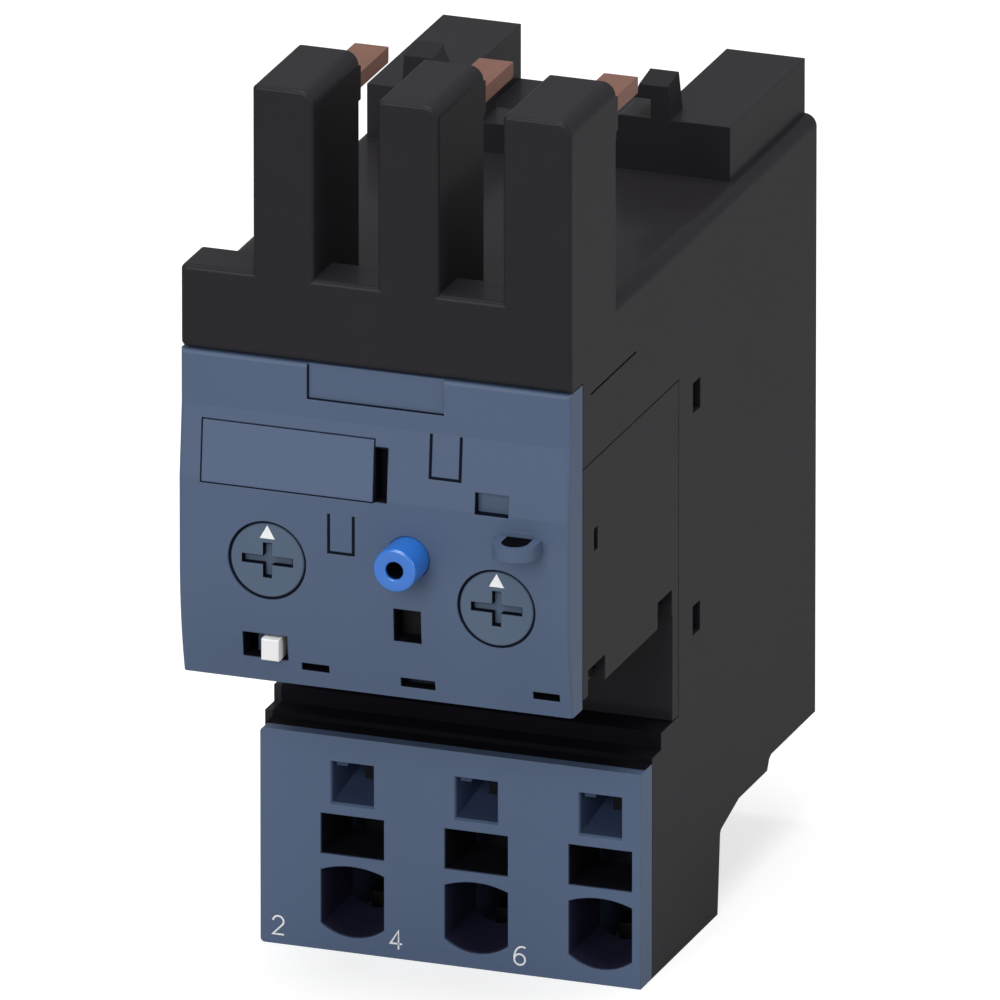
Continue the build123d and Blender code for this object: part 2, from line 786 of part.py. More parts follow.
def terminal_block():
    """The blue-grey block with three columns of entries and a chamber for each clamp."""
    flange = block(block_left, housing_width, block_front, block_flange_back - fit_gap, 0, block_top)
    outer = flange.edges().filter_by(Axis.Y).group_by(Axis.X)[0]
    flange = fillet(outer, small_round)
    body = flange + block(block_side_left, block_side_right, block_flange_back - 1, block_back, 0,
                          block_top - fit_gap)
    for x in entry_xs:
        body -= terminal_entry(x)
        body -= clamp_chamber(x)
    return body


def busbar(pole):
    """One bent copper bar: the plug-in pin, the run through the transformer and the tail in the clamp."""
    x = pin_xs[pole]
    tail_x = entry_xs[pole]
    half = pin_width / 2
    pin_z = pin_top - bar_thickness / 2
    lead_front = pin_back - pin_lead
    upper = strip([(lead_front, pin_z), (bar_front_y, pin_z), (bar_front_y, bar_narrow_z - bar_lap)],
                  bar_thickness, bar_bend, x - half, x + half)
    inner = strip([(bar_front_y, bar_narrow_z), (bar_front_y, bar_cross_z), (bar_drop_y, bar_cross_z),
                   (bar_drop_y, bar_widen_z - bar_lap)],
                  bar_thickness, bar_bend, x - half, x - half + bar_inner_width)
    lower = strip([(bar_drop_y, bar_widen_z), (bar_drop_y, bar_tail_z), (bar_tail_front, bar_tail_z)],
                  bar_thickness, bar_bend, tail_x - half, tail_x + half)
    full = Plane.XZ.offset(-lead_front) * (Pos(x, pin_z) * Rectangle(pin_width, bar_thickness))
    narrow = Plane.XZ.offset(-pin_back) * (
        Pos(x, pin_z) * Rectangle(pin_width - 2 * pin_lead_slope, bar_thickness - 2 * pin_lead_slope))
    return upper + inner + lower + loft([full, narrow])


def transformer_core(pole):
    """The closed iron frame round one copper bar."""
    x = pin_xs[pole]
    y0, y1 = core_y
    body = block(x - core_left, x + core_right, y0, y1, *core_z)
    return body - block(x - core_window_left, x + core_window_right, y0 + core_yoke, y1 - core_yoke,
                        core_z[0] - 1, core_z[1] + 1)


def transformer_winding(pole):
    """The winding round the core's left leg."""
    x = pin_xs[pole]
    low, high = core_z
    y0, y1 = winding_y
    inner = (x - core_left - winding_gap, x - core_window_left + winding_gap)
    body = block(inner[0] - winding_wall, inner[1] + winding_wall, y0, y1, low - winding_gap - winding_wall,
                 high + winding_gap + winding_wall)
    body = fillet(body.edges().filter_by(Axis.Y), winding_wall)
    return body - block(inner[0], inner[1], y0 - 1, y1 + 1, low - winding_gap, high + winding_gap)


def transformer_tray():
    """The tray that carries the three transformers on the ledges of the housing."""
    top = tray_top
    gap = side_wall + fit_gap
    y0, y1 = tray_y
    body = block(gap, housing_width - gap, y0, y1, top - tray_thickness, top)
    slot_y = (bar_drop_y - tray_slot_half_depth, bar_drop_y + tray_slot_half_depth)
    near, far = tray_pad
    for x in pin_xs:
        body -= block(x - core_window_left, x + core_window_right + tray_slot_margin, *slot_y,
                      top - 2 * tray_thickness, top + 1)
        for pad_y in ((y0 + near, y0 + far), (y1 - far, y1 - near)):
            body += block(x - core_left, x + core_right, *pad_y, top, core_z[0])
    return body


def clamp_spring(pole):
    """The fixed bow of a clamp spring, lying against its chamber."""
    x = entry_xs[pole]
    half = spring_width / 2
    route = [(spring_back, spring_end), (spring_back, spring_top), (spring_front, spring_top),
             (spring_front, tongue_pivot_z + spring_root_gap)]
    return strip(route, spring_thickness, spring_bow_radius, x - half, x + half)


def clamp_tongue(pole):
    """The leg of the clamp spring that presses the conductor on the bar."""
    x = entry_xs[pole]
    half = spring_width / 2 - tongue_inset
    route = [(spring_front, tongue_pivot_z), (spring_front, tongue_pivot_z - tongue_bend_drop), tongue_tip]
    return strip(route, spring_thickness, tongue_bend_radius, x - half, x + half)


def circuit_board():
    """The board behind the dials, resting on the ribs of the module."""
    gap = wall + board_margin
    body = block(gap, housing_width - gap, board_front, board_back, module_floor + board_margin,
                 module_ceiling - board_margin)
    margin = board_cut_margin
    low, high = trip_window[2:]
    return body - block(trip_window[0] - margin, carriage_arm_x[1] + margin, board_front - 1, board_back + 1,
                        low - margin, high + trip_travel + margin)


def potentiometer(centre):
    """The part on the board that a dial turns."""
    x, z = centre
    half = pot_size / 2
    body = block(x - half, x + half, pot_front, board_front, z - half, z + half)
    return body - rod(x, z, dial_stem_radius + running_gap, pot_front - 1, dial_stem_end + fit_gap)


def reset_switch():
    """The small switch that the reset button presses, with a recess for its stem."""
    x, z = reset_at
    half = reset_switch_size / 2
    return block(x - half, x + half, reset_switch_front, board_front, z - half, z + half)


def capacitors():
    """The round capacitors behind the board."""
    group = Part()
    spots = [(trip_window[0] - inset, rise) for rise, inset in capacitor_spots]
    for x, rise in spots + [left_capacitor_spot]:
        group += rod(x, module_bottom + rise, capacitor_radius, board_back, board_back + capacitor_length)
    return group


def processor_chip():
    """The controller behind the board."""
    return window(chip_box, board_back, board_back + chip_thickness)


def trip_yoke():
    """The iron frame of the trip magnet, standing on the module's floor."""
    x, y = magnet_at
    half = yoke_width / 2
    back = y + yoke_depth
    front = y - yoke_front_reach
    low = module_floor + fit_gap
    body = block(x - half, x + half, front, back, low, low + yoke_plate)
    body += block(x - half, x + half, front, back, yoke_top - yoke_plate, yoke_top)
    body += block(x - half, x + half, back, back + yoke_plate, low, yoke_top)
    return body - post(x, y, plunger_radius + yoke_plunger_gap, yoke_top - yoke_plate - 1, yoke_top + 1)


def trip_coil():
    """The wound bobbin inside the yoke."""
    x, y = magnet_at
    low = module_floor + fit_gap + yoke_plate + fit_gap
    high = yoke_top - yoke_plate - fit_gap
    body = post(x, y, coil_radius, low, high)
    return body - post(x, y, plunger_radius + plunger_gap, plunger_bottom - 1, high + 1)


def trip_plunger():
    """The steel core that lifts the carriage."""
    x, y = magnet_at
    return post(x, y, plunger_radius, plunger_bottom, carriage_z[0])


def contact_xs():
    """The two places across where each pair of contacts stands."""
    return (bridge_x[0] + contact_inset, bridge_x[1] - contact_inset)


def nc_blade_y():
    """Depths of the upright blades of the opening contact."""
    return (nc_blade_front, nc_blade_front + contact_sheet)


def no_blade_y():
    """Depths of the upright blades of the closing contact."""
    return (no_blade_front, no_blade_front + contact_sheet)


def nc_bridge():
    """The moving strip of the contact that opens when the relay trips."""
    low = nc_contact_top + contact_gap
    return block(*bridge_x, *bridge_y, low, low + bridge_sheet)


def no_bridge():
    """The moving strip of the contact that closes when the relay trips."""
    high = no_contact_bottom - trip_travel - contact_gap
    return block(*bridge_x, *bridge_y, high - bridge_sheet, high)


def contact_carriage():
    """The plastic slider between the plunger, the moving contacts and the indicator."""
    body = block(*carriage_x, *carriage_y, *carriage_z)
    post_low = no_contact_bottom - trip_travel - contact_gap - bridge_sheet - contact_post_foot
    body += block(*contact_post_x, *carriage_y, post_low, carriage_z[0])
    body += block(*carriage_arm_x, carriage_arm_y[0], carriage_y[0], *carriage_z)
    left, right, low = trip_window[:3]
    left += flag_foot_inset
    right -= flag_foot_inset
    foot = (low + flag_foot_inset, low + flag_foot_inset + flag_foot_height)
    body += block(*carriage_arm_x, *carriage_arm_y, foot[0], carriage_z[1])
    body += block(left, carriage_arm_x[1], *carriage_arm_y, *foot)
    body += block(left, right, flag_back, carriage_arm_y[1], *foot)
    return body - nc_bridge() - no_bridge()


def fixed_contacts(low, blade_y):
    """A pair of fixed contacts: each strip runs back and turns down to its blade in the bay."""
    front = bridge_y[0] - contact_overhang
    middle = (blade_y[0] + blade_y[1]) / 2
    height = low + contact_sheet / 2
    half = blade_width / 2
    pair = Part()
    for x in contact_xs():
        pair += strip([(front, height), (middle, height), (middle, blade_bottom)], contact_sheet,
                      contact_bend, x - half, x + half)
    return pair


def contact_holder():
    """The block on the module's floor that grips the four fixed contacts."""
    half = blade_width / 2
    left = contact_xs()[0] - half - contact_holder_side
    right = contact_xs()[1] + half + contact_holder_side
    body = block(left, right, *contact_holder_y, module_floor + fit_gap, nc_contact_top + contact_holder_cap)
    for x in contact_xs():
        for low in (nc_contact_top - contact_sheet, no_contact_bottom):
            body -= block(x - half, x + half, contact_holder_y[0] - 1, contact_holder_y[1] + 1, low,
                          low + contact_sheet)
    return body


def build():
    """Every node by name."""
    nodes = {
        "main_housing": main_housing(),
        "rear_cover": rear_cover(),
        "module_housing": module_housing(),
        "front_cover": front_cover(),
        "label_plate": label_plate(),
        "terminal_block": terminal_block(),
        "current_dial": dial(left_dial_at),
        "class_dial": dial(right_dial_at),
        "reset_button": reset_button(),
        "reset_spring": reset_spring(),
        "reset_switch": reset_switch(),
        "mode_slide": mode_slide(),
        "mode_switch": mode_switch(),
        "circuit_board": circuit_board(),
        "current_potentiometer": potentiometer(left_dial_at),
        "class_potentiometer": potentiometer(right_dial_at),
        "capacitors": capacitors(),
        "processor_chip": processor_chip(),
        "trip_yoke": trip_yoke(),
        "trip_coil": trip_coil(),
        "trip_plunger": trip_plunger(),
        "contact_carriage": contact_carriage(),
        "trip_flag": trip_flag(),
        "opening_bridge": nc_bridge(),
        "closing_bridge": no_bridge(),
        "opening_contacts": fixed_contacts(nc_contact_top - contact_sheet, nc_blade_y()),
        "closing_contacts": fixed_contacts(no_contact_bottom, no_blade_y()),
        "contact_holder": contact_holder(),
        "transformer_tray": transformer_tray(),
    }
    for pole in range(pole_count):
        number = pole + 1
        nodes[f"busbar_{number}"] = busbar(pole)
        nodes[f"transformer_core_{number}"] = transformer_core(pole)
        nodes[f"transformer_winding_{number}"] = transformer_winding(pole)
        nodes[f"clamp_spring_{number}"] = clamp_spring(pole)
        nodes[f"clamp_tongue_{number}"] = clamp_tongue(pole)
    return nodes


os.makedirs("parts", exist_ok=True)
# The frame's origin is under the middle of the whole object, on the surface that it stands on
to_origin = Pos(-housing_width / 2, -middle_y, 0)
for name, shape in build().items():
    export_step(to_origin * shape, f"parts/{name}.step")
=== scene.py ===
import json
import math
import bmesh
import bpy
import numpy as np
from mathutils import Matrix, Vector


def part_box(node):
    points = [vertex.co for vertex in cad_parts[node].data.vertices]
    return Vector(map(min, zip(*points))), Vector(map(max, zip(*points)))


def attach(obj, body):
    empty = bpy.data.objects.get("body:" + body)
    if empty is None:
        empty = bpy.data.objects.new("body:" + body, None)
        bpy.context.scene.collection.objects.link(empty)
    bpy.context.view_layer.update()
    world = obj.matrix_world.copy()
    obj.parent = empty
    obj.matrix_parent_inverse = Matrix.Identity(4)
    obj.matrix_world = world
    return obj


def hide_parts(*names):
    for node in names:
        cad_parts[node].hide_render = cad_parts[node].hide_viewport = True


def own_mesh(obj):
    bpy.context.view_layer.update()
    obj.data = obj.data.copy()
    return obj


# An electronic overload relay: black housing with a comb and copper pins, blue-grey cover and terminal block.
# Lengths are in metres, in the frame of the model: +X right, front towards -Y, +Z up.

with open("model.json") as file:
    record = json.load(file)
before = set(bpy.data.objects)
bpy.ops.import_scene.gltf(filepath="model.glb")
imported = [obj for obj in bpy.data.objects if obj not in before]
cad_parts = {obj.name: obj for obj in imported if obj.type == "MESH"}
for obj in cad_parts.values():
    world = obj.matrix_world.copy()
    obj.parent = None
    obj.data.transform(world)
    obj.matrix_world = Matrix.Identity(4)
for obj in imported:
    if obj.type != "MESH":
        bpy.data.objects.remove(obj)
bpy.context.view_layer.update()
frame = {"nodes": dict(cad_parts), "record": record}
nodes = frame["nodes"]
mm = 0.001
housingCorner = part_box("main_housing")[0]
mountAt = {mount["name"]: Vector(mount["pos_m"]) for mount in frame["record"]["mounts"]}


# Helpers

def hexColour(code):
    # sRGB hex to the linear values that Blender's sockets take
    parts = [int(code[i:i + 2], 16) / 255 for i in (1, 3, 5)]
    return tuple(c / 12.92 if c <= 0.04045 else ((c + 0.055) / 1.055) ** 2.4 for c in parts) + (1.0,)


def addNode(tree, kind, settings=None, links=None):
    # settings: property or socket values; links: input name -> output socket of another node
    node = tree.nodes.new(kind)
    for key, value in (settings or {}).items():
        if isinstance(key, str) and hasattr(node, key):
            setattr(node, key, value)
        else:
            node.inputs[key].default_value = value
    for key, output in (links or {}).items():
        tree.links.new(output, node.inputs[key])
    return node


def newMaterial(name):
    # A material with its tree, its shader and the coordinates of its object
    material = bpy.data.materials.new(name)
    material.use_nodes = True
    tree = material.node_tree
    shader = tree.nodes["Principled BSDF"]
    coords = tree.nodes.new("ShaderNodeTexCoord").outputs["Object"]
    return material, tree, shader, coords


def roundedNormal(tree, shader, look, height):
    # The Bevel node turns the shading over the edges, as a moulding's small radius does; the bump lies on top
    normal = addNode(tree, "ShaderNodeBevel", {"samples": 6, "Radius": look["edge"] * mm}).outputs["Normal"]
    bump = addNode(tree, "ShaderNodeBump", {"Strength": look["bump"], "Distance": look["depth"] * mm},
                   {"Height": height, "Normal": normal})
    tree.links.new(bump.outputs["Normal"], shader.inputs["Normal"])


def unevenRoughness(tree, shader, look, pattern):
    # The pattern moves the roughness between its two limits
    low, high = look["roughness"]
    rough = addNode(tree, "ShaderNodeMapRange", {"To Min": low, "To Max": high}, {"Value": pattern})
    tree.links.new(rough.outputs["Result"], shader.inputs["Roughness"])


# Materials

skinRoughness = 0.12  # of the thin glossy skin on some mouldings


def mouldedPlastic(name, look):
    # Thermoplastic from a spark-eroded mould: a fine even grain breaks the gloss, and the colour drifts a
    # little where the melt flowed. Grain and flow are widths in millimetres, drawn coarse enough to show.
    material, tree, shader, coords = newMaterial(name)
    grain = addNode(tree, "ShaderNodeTexNoise", {"Scale": 1 / (look["grain"] * mm), "Detail": 2.0},
                    {"Vector": coords}).outputs["Fac"]
    flow = addNode(tree, "ShaderNodeTexNoise",
                   {"Scale": 1 / (look["flow"] * mm), "Detail": 3.0, "Distortion": 0.6},
                   {"Vector": coords}).outputs["Fac"]
    tone = addNode(tree, "ShaderNodeMix", {
        "data_type": "RGBA", "A": hexColour(look["dark"]), "B": hexColour(look["light"])}, {0: flow})
    tree.links.new(tone.outputs["Result"], shader.inputs["Base Color"])
    unevenRoughness(tree, shader, look, grain)
    shader.inputs["IOR"].default_value = look["ior"]
    shader.inputs["Specular IOR Level"].default_value = look["specular"]
    shader.inputs["Coat Weight"].default_value = look.get("skin", 0.0)
    shader.inputs["Coat Roughness"].default_value = skinRoughness
    roundedNormal(tree, shader, look, grain)
    return material


def rolledMetal(name, look):
    # Strip metal: long rolling marks along one axis, metallic, with a default IOR
    material, tree, shader, coords = newMaterial(name)
    stretch = addNode(tree, "ShaderNodeMapping", {"Scale": look["stretch"]}, {"Vector": coords})
    marks = addNode(tree, "ShaderNodeTexNoise", {"Scale": 1 / (look["mark"] * mm), "Detail": 4.0},
                    {"Vector": stretch.outputs["Vector"]}).outputs["Fac"]
    tarnish = addNode(tree, "ShaderNodeTexNoise", {"Scale": 1 / (look["patch"] * mm), "Detail": 3.0},
                      {"Vector": coords}).outputs["Fac"]
    tone = addNode(tree, "ShaderNodeMix", {
        "data_type": "RGBA", "A": hexColour(look["dark"]), "B": hexColour(look["light"])}, {0: tarnish})
    colour = tone.outputs["Result"]
    if "paintedShade" in look:
        # painted shade: black on the lower run, which ends softly between two heights
        height = addNode(tree, "ShaderNodeSeparateXYZ", links={"Vector": coords}).outputs["Z"]
        start, end = look["paintedShadeFade"]
        unshadedShare = addNode(tree, "ShaderNodeMapRange", {"From Min": start, "From Max": end}, {"Value": height})
        shadedTone = addNode(tree, "ShaderNodeMix", {"data_type": "RGBA", "A": hexColour(look["paintedShade"])},
                         {0: unshadedShare.outputs["Result"], "B": colour})
        colour = shadedTone.outputs["Result"]
    tree.links.new(colour, shader.inputs["Base Color"])
    unevenRoughness(tree, shader, look, marks)
    shader.inputs["Metallic"].default_value = look["metallic"]
    roundedNormal(tree, shader, look, marks)
    return material


def woundWire(name, look):
    # Enamelled copper wire in layers: a ridge for each turn along one axis, under a clear amber varnish
    material, tree, shader, coords = newMaterial(name)
    ripple = {"bands_direction": look["axis"], "wave_profile": "SIN", "Distortion": 0.3,
              "Scale": math.pi / (10 * look["wire"] * mm)}
    bands = addNode(tree, "ShaderNodeTexWave", ripple, {"Vector": coords}).outputs["Fac"]
    tone = addNode(tree, "ShaderNodeMix", {
        "data_type": "RGBA", "A": hexColour(look["dark"]), "B": hexColour(look["light"])}, {0: bands})
    tree.links.new(tone.outputs["Result"], shader.inputs["Base Color"])
    shader.inputs["Metallic"].default_value = look["metallic"]
    shader.inputs["Roughness"].default_value = look["roughness"]
    shader.inputs["Coat Weight"].default_value = look["varnish"]
    shader.inputs["Coat Roughness"].default_value = look["varnishRoughness"]
    roundedNormal(tree, shader, look, bands)
    return material


def glassLaminate(name, look):
    # Board under solder mask: the glass weave shows faintly, and the copper tracks are a little lighter
    material, tree, shader, coords = newMaterial(name)
    weave = addNode(tree, "ShaderNodeTexChecker", {"Scale": 1 / (look["thread"] * mm)}, {"Vector": coords})
    tracks = addNode(tree, "ShaderNodeTexBrick", {
        "Scale": 1 / (look["track"] * mm), "Mortar Size": 0.03, "Brick Width": 0.8, "Row Height": 0.25},
        {"Vector": coords})
    tone = addNode(tree, "ShaderNodeMix", {
        "data_type": "RGBA", "A": hexColour(look["mask"]), "B": hexColour(look["trackColour"])},
        {0: tracks.outputs["Fac"]})
    tree.links.new(tone.outputs["Result"], shader.inputs["Base Color"])
    shader.inputs["Roughness"].default_value = look["roughness"]
    roundedNormal(tree, shader, look, weave.outputs["Fac"])
    return material


mouldings = {
    # glass-filled polyamide, black with a faint cool cast, matt from the eroded mould
    "blackPolyamide": {
        "dark": "#222024", "light": "#262428", "grain": 0.22, "flow": 18, "roughness": (0.46, 0.6),
        "ior": 1.53, "specular": 0.1, "skin": 0.1, "edge": 0.18, "depth": 0.012, "bump": 0.2},
    # the same polyamide coloured blue-grey, for what the user handles
    "blueGreyPolyamide": {
        "dark": "#4d5e79", "light": "#52637e", "grain": 0.18, "flow": 22, "roughness": (0.42, 0.55),
        "ior": 1.53, "specular": 0.3, "edge": 0.14, "depth": 0.015, "bump": 0.2},
    # painted light: the same, a little lighter on the terminal block, to make up for the shade under the
    # cover
    "paintedLightBlockPolyamide": {
        "dark": "#526481", "light": "#576986", "grain": 0.18, "flow": 22, "roughness": (0.42, 0.55),
        "ior": 1.53, "specular": 0.3, "edge": 0.14, "depth": 0.015, "bump": 0.2},
    # the dials, from a batch a little greener
    "slatePolyamide": {
        "dark": "#506177", "light": "#54657b", "grain": 0.18, "flow": 12, "roughness": (0.4, 0.5),
        "ior": 1.53, "specular": 0.3, "edge": 0.08, "depth": 0.012, "bump": 0.2},
    # the loose plate, a touch lighter
    "platePolyamide": {
        "dark": "#51617e", "light": "#566683", "grain": 0.18, "flow": 12, "roughness": (0.4, 0.5),
        "ior": 1.53, "specular": 0.3, "edge": 0.1, "depth": 0.012, "bump": 0.2},
    # painted shade: black linings of the passages, matt so that no light comes back out of them
    "paintedShadeBlack": {
        "dark": "#0b0b12", "light": "#0f0f17", "grain": 0.3, "flow": 6, "roughness": (0.7, 0.85),
        "ior": 1.5, "specular": 0.1, "edge": 0.05, "depth": 0.01, "bump": 0.1},
    # painted shade: blue-black lining of the conductor entries, nearly matt
    "paintedShadeEntryNavy": {
        "dark": "#1b1b30", "light": "#202038", "grain": 0.3, "flow": 6, "roughness": (0.55, 0.7),
        "ior": 1.5, "specular": 0.2, "edge": 0.08, "depth": 0.01, "bump": 0.1},
    # painted shade: dark blue lining of the probe funnels, nearly matt
    "paintedShadeFunnelNavy": {
        "dark": "#243049", "light": "#2a3750", "grain": 0.3, "flow": 6, "roughness": (0.5, 0.65),
        "ior": 1.5, "specular": 0.2, "edge": 0.08, "depth": 0.01, "bump": 0.1},
    # painted shade: blackest of the linings, for the inside of the seal loop, which opens upwards to the
    # light
    "paintedShadeBoreBlack": {
        "dark": "#030306", "light": "#050509", "grain": 0.3, "flow": 6, "roughness": (0.75, 0.9),
        "ior": 1.5, "specular": 0.05, "edge": 0.03, "depth": 0.01, "bump": 0.1},
    # painted shade: dark navy of the narrow gaps and the slot walls, where little light gets in
    "paintedShadeGapNavy": {
        "dark": "#070b18", "light": "#0a1020", "grain": 0.3, "flow": 6, "roughness": (0.6, 0.75),
        "ior": 1.5, "specular": 0.1, "edge": 0.03, "depth": 0.01, "bump": 0.1},
    # painted shade: grey-blue of the selector's left shutter and of the teeth in the funnels
    "paintedShadeGreyBlue": {
        "dark": "#323f5a", "light": "#364460", "grain": 0.3, "flow": 6, "roughness": (0.5, 0.65),
        "ior": 1.5, "specular": 0.2, "edge": 0.05, "depth": 0.01, "bump": 0.1},
    # brown-black polyamide of the indicator
    "indicatorBrown": {
        "dark": "#0e0b0c", "light": "#141011", "grain": 0.3, "flow": 3, "roughness": (0.45, 0.6),
        "ior": 1.5, "specular": 0.2, "edge": 0.08, "depth": 0.01, "bump": 0.1},
    # polycarbonate blend from a polished mould: clean, saturated and glossy
    "signalBluePolycarbonate": {
        "dark": "#1f6fce", "light": "#2374d4", "grain": 0.4, "flow": 6, "roughness": (0.2, 0.27),
        "ior": 1.58, "specular": 0.9, "edge": 0.05, "depth": 0.004, "bump": 0.1},
    # natural white acetal, slightly waxy
    "whiteAcetal": {
        "dark": "#eeeeef", "light": "#f4f4f5", "grain": 0.3, "flow": 5, "roughness": (0.35, 0.45),
        "ior": 1.48, "specular": 0.4, "edge": 0.06, "depth": 0.006, "bump": 0.1},
    # unfilled polyamide of the inner carriers, ivory and satin
    "naturalPolyamide": {
        "dark": "#c9c1a8", "light": "#d5cdb6", "grain": 0.3, "flow": 9, "roughness": (0.4, 0.5),
        "ior": 1.53, "specular": 0.4, "edge": 0.15, "depth": 0.008, "bump": 0.15},
    # epoxy bodies of the electronic components, matt grey-black
    "componentEpoxy": {
        "dark": "#1b1b1c", "light": "#222224", "grain": 0.15, "flow": 4, "roughness": (0.5, 0.6),
        "ior": 1.55, "specular": 0.4, "edge": 0.1, "depth": 0.01, "bump": 0.25},
    # white pad-printing ink, a few hundredths of a millimetre thick and matt
    "printingInk": {
        "dark": "#f4f5f7", "light": "#f9fafb", "grain": 0.2, "flow": 2, "roughness": (0.55, 0.65),
        "ior": 1.5, "specular": 0.3, "edge": 0.02, "depth": 0.002, "bump": 0.1},
}
strips = {
    # electrolytic copper, stamped and slightly oxidised, rolled along the depth;
    # painted shade makes it black below the module
    "stampedCopper": {
        "dark": "#8a6154", "light": "#9a7060", "mark": 0.25, "stretch": (1.0, 0.12, 1.0), "patch": 2.5,
        "roughness": (0.42, 0.6), "metallic": 0.55, "edge": 0.15, "depth": 0.02, "bump": 0.3,
        "paintedShade": "#0c0b0f", "paintedShadeFade": (38 * mm, 40 * mm)},
    # tin bronze contact strip, warm yellow with satin rolling marks
    "contactBronze": {
        "dark": "#a98545", "light": "#c09a58", "mark": 0.2, "stretch": (1.0, 1.0, 0.12), "patch": 2.0,
        "roughness": (0.28, 0.42), "metallic": 0.9, "edge": 0.08, "depth": 0.01, "bump": 0.3},
    # cold-rolled stainless spring strip, pale grey and brighter than the rest
    "springSteel": {
        "dark": "#8b8b8e", "light": "#a6a6a8", "mark": 0.15, "stretch": (0.1, 1.0, 1.0), "patch": 2.0,
        "roughness": (0.25, 0.4), "metallic": 1.0, "edge": 0.08, "depth": 0.008, "bump": 0.25},
    # zinc-plated soft iron of magnets and cores, dull grey
    "platedIron": {
        "dark": "#5b5b60", "light": "#727278", "mark": 0.3, "stretch": (1.0, 1.0, 0.2), "patch": 1.5,
        "roughness": (0.35, 0.5), "metallic": 1.0, "edge": 0.12, "depth": 0.015, "bump": 0.3},
}
winding = {"dark": "#5a2a12", "light": "#a65a2a", "axis": "Z", "wire": 0.35, "metallic": 0.7,
           "roughness": 0.32, "varnish": 0.6, "varnishRoughness": 0.15, "edge": 0.1, "depth": 0.1,
           "bump": 0.8}
laminate = {"mask": "#0f4a2b", "trackColour": "#1c6a40", "thread": 0.5, "track": 2.2, "roughness": 0.35,
            "edge": 0.1, "depth": 0.02, "bump": 0.3}
finishes = {name: mouldedPlastic(name, look) for name, look in mouldings.items()}
finishes.update({name: rolledMetal(name, look) for name, look in strips.items()})
finishes["enamelledWire"] = woundWire("enamelledWire", winding)
finishes["boardLaminate"] = glassLaminate("boardLaminate", laminate)
slotFinish = {
    "black_plastic": "blackPolyamide", "blue_grey_plastic": "blueGreyPolyamide",
    "blue_button_plastic": "signalBluePolycarbonate", "white_plastic": "whiteAcetal",
    "copper": "stampedCopper", "contact_brass": "contactBronze", "spring_steel": "springSteel",
    "iron": "platedIron", "winding": "enamelledWire", "board": "boardLaminate",
    "component_black": "componentEpoxy", "natural_plastic": "naturalPolyamide",
}
slotOf = {part["node"]: part["material_slot"] for part in frame["record"]["subparts"]}
nodeFinish = {"current_dial": "slatePolyamide", "class_dial": "slatePolyamide", "trip_flag": "indicatorBrown",
              "label_plate": "platePolyamide", "terminal_block": "paintedLightBlockPolyamide"}
for nodeName, thing in nodes.items():
    thing.data.materials.clear()
    thing.data.materials.append(finishes[nodeFinish.get(nodeName, slotFinish[slotOf[nodeName]])])
print("finishes on", len(nodes), "CAD nodes")


# Surfaces from arrays

# The dictionaries of the pieces count in millimetres, as the function at does, unless a value carries mm.


def meshFrom(name, points, faces, finish, smooth=False):
    # A mesh from arrays, with its normals turned outwards
    mesh = bpy.data.meshes.new(name)
    mesh.from_pydata(np.asarray(points, float).tolist(), [], [tuple(f) for f in faces])
    mesh.validate()
    shell = bmesh.new()
    shell.from_mesh(mesh)
    bmesh.ops.recalc_face_normals(shell, faces=shell.faces)
    shell.to_mesh(mesh)
    shell.free()
    mesh.polygons.foreach_set("use_smooth", [smooth] * len(mesh.polygons))
    mesh.materials.append(finishes[finish])
    piece = bpy.data.objects.new(name, mesh)
    bpy.context.scene.collection.objects.link(piece)
    return piece


def gridFaces(rows, columns, closedRows=False, closedColumns=False):
    # Quads of a rows x columns grid; a closed direction joins its last line to its first
    r = np.arange(rows if closedRows else rows - 1)
    c = np.arange(columns if closedColumns else columns - 1)
    r, c = (a.ravel() for a in np.meshgrid(r, c, indexing="ij"))
    nextR = (r + 1) % rows
    nextC = (c + 1) % columns
    return np.stack([r * columns + c, r * columns + nextC, nextR * columns + nextC, nextR * columns + c], 1)


def sweepFaces(count, closed=False):
    # Faces of a four-sided section carried along count places; an open run gets its two ends
    faces = gridFaces(count, 4, closedRows=closed, closedColumns=True).tolist()
    return faces if closed else faces + [[0, 1, 2, 3], [4 * count - k for k in (1, 2, 3, 4)]]


def at(x, y, z):
    # A place counted in millimetres from the housing's left side, its front and the floor
    return np.array([housingCorner.x + x * mm, housingCorner.y + y * mm, z * mm])


def placed(points):
    # Many such places at once, as rows of (x, y, z)
    return at(0, 0, 0) + np.reshape(points, (-1, 3)) * mm


def atDepth(outline, depth):
    # An outline of (x, z) set upright at a depth, which may differ from point to point
    return np.column_stack([outline[:, 0], np.broadcast_to(depth, len(outline)), outline[:, 1]])


def shadeByAngle(piece, limit=32):
    # Smooth shading in which edges that turn by more than the limit stay sharp
    piece.data.shade_smooth()
    piece.data.set_sharp_from_angle(angle=math.radians(limit))


def lathePiece(name, profile, centre, finish, count):
    # A profile of (radius, depth) turned round the depth axis through the centre
    profile = np.asarray(profile, float) * mm
    angle = np.linspace(0, 2 * np.pi, count, endpoint=False)
    points = np.stack([
        centre[0] + profile[:, :1] * np.cos(angle), np.repeat(centre[1] + profile[:, 1:], count, 1),
        centre[2] + profile[:, :1] * np.sin(angle)], 2)
    faces = gridFaces(len(profile), count, closedColumns=True).tolist()
    faces += [list(range(count)), list(range(count * len(profile) - 1, count * (len(profile) - 1) - 1, -1))]
    piece = meshFrom(name, points.reshape(-1, 3), faces, finish, smooth=True)
    return piece


def turn(centre, radius, start, end, count):
    # Rounding of a profile: (radius, depth) points on a circle, angles in degrees from outward to backward
    angle = np.radians(np.linspace(start, end, count))
    return np.stack([centre[0] + radius * np.cos(angle), centre[1] + radius * np.sin(angle)], 1)


def arc(centre, radius, start, end, count, squash=1.0):
    # Points on an ellipse's arc, angles in degrees counted from +X towards +Z
    angle = np.radians(np.linspace(start, end, count))
    return np.stack([centre[0] + radius * np.cos(angle), centre[1] + radius * squash * np.sin(angle)], 1)


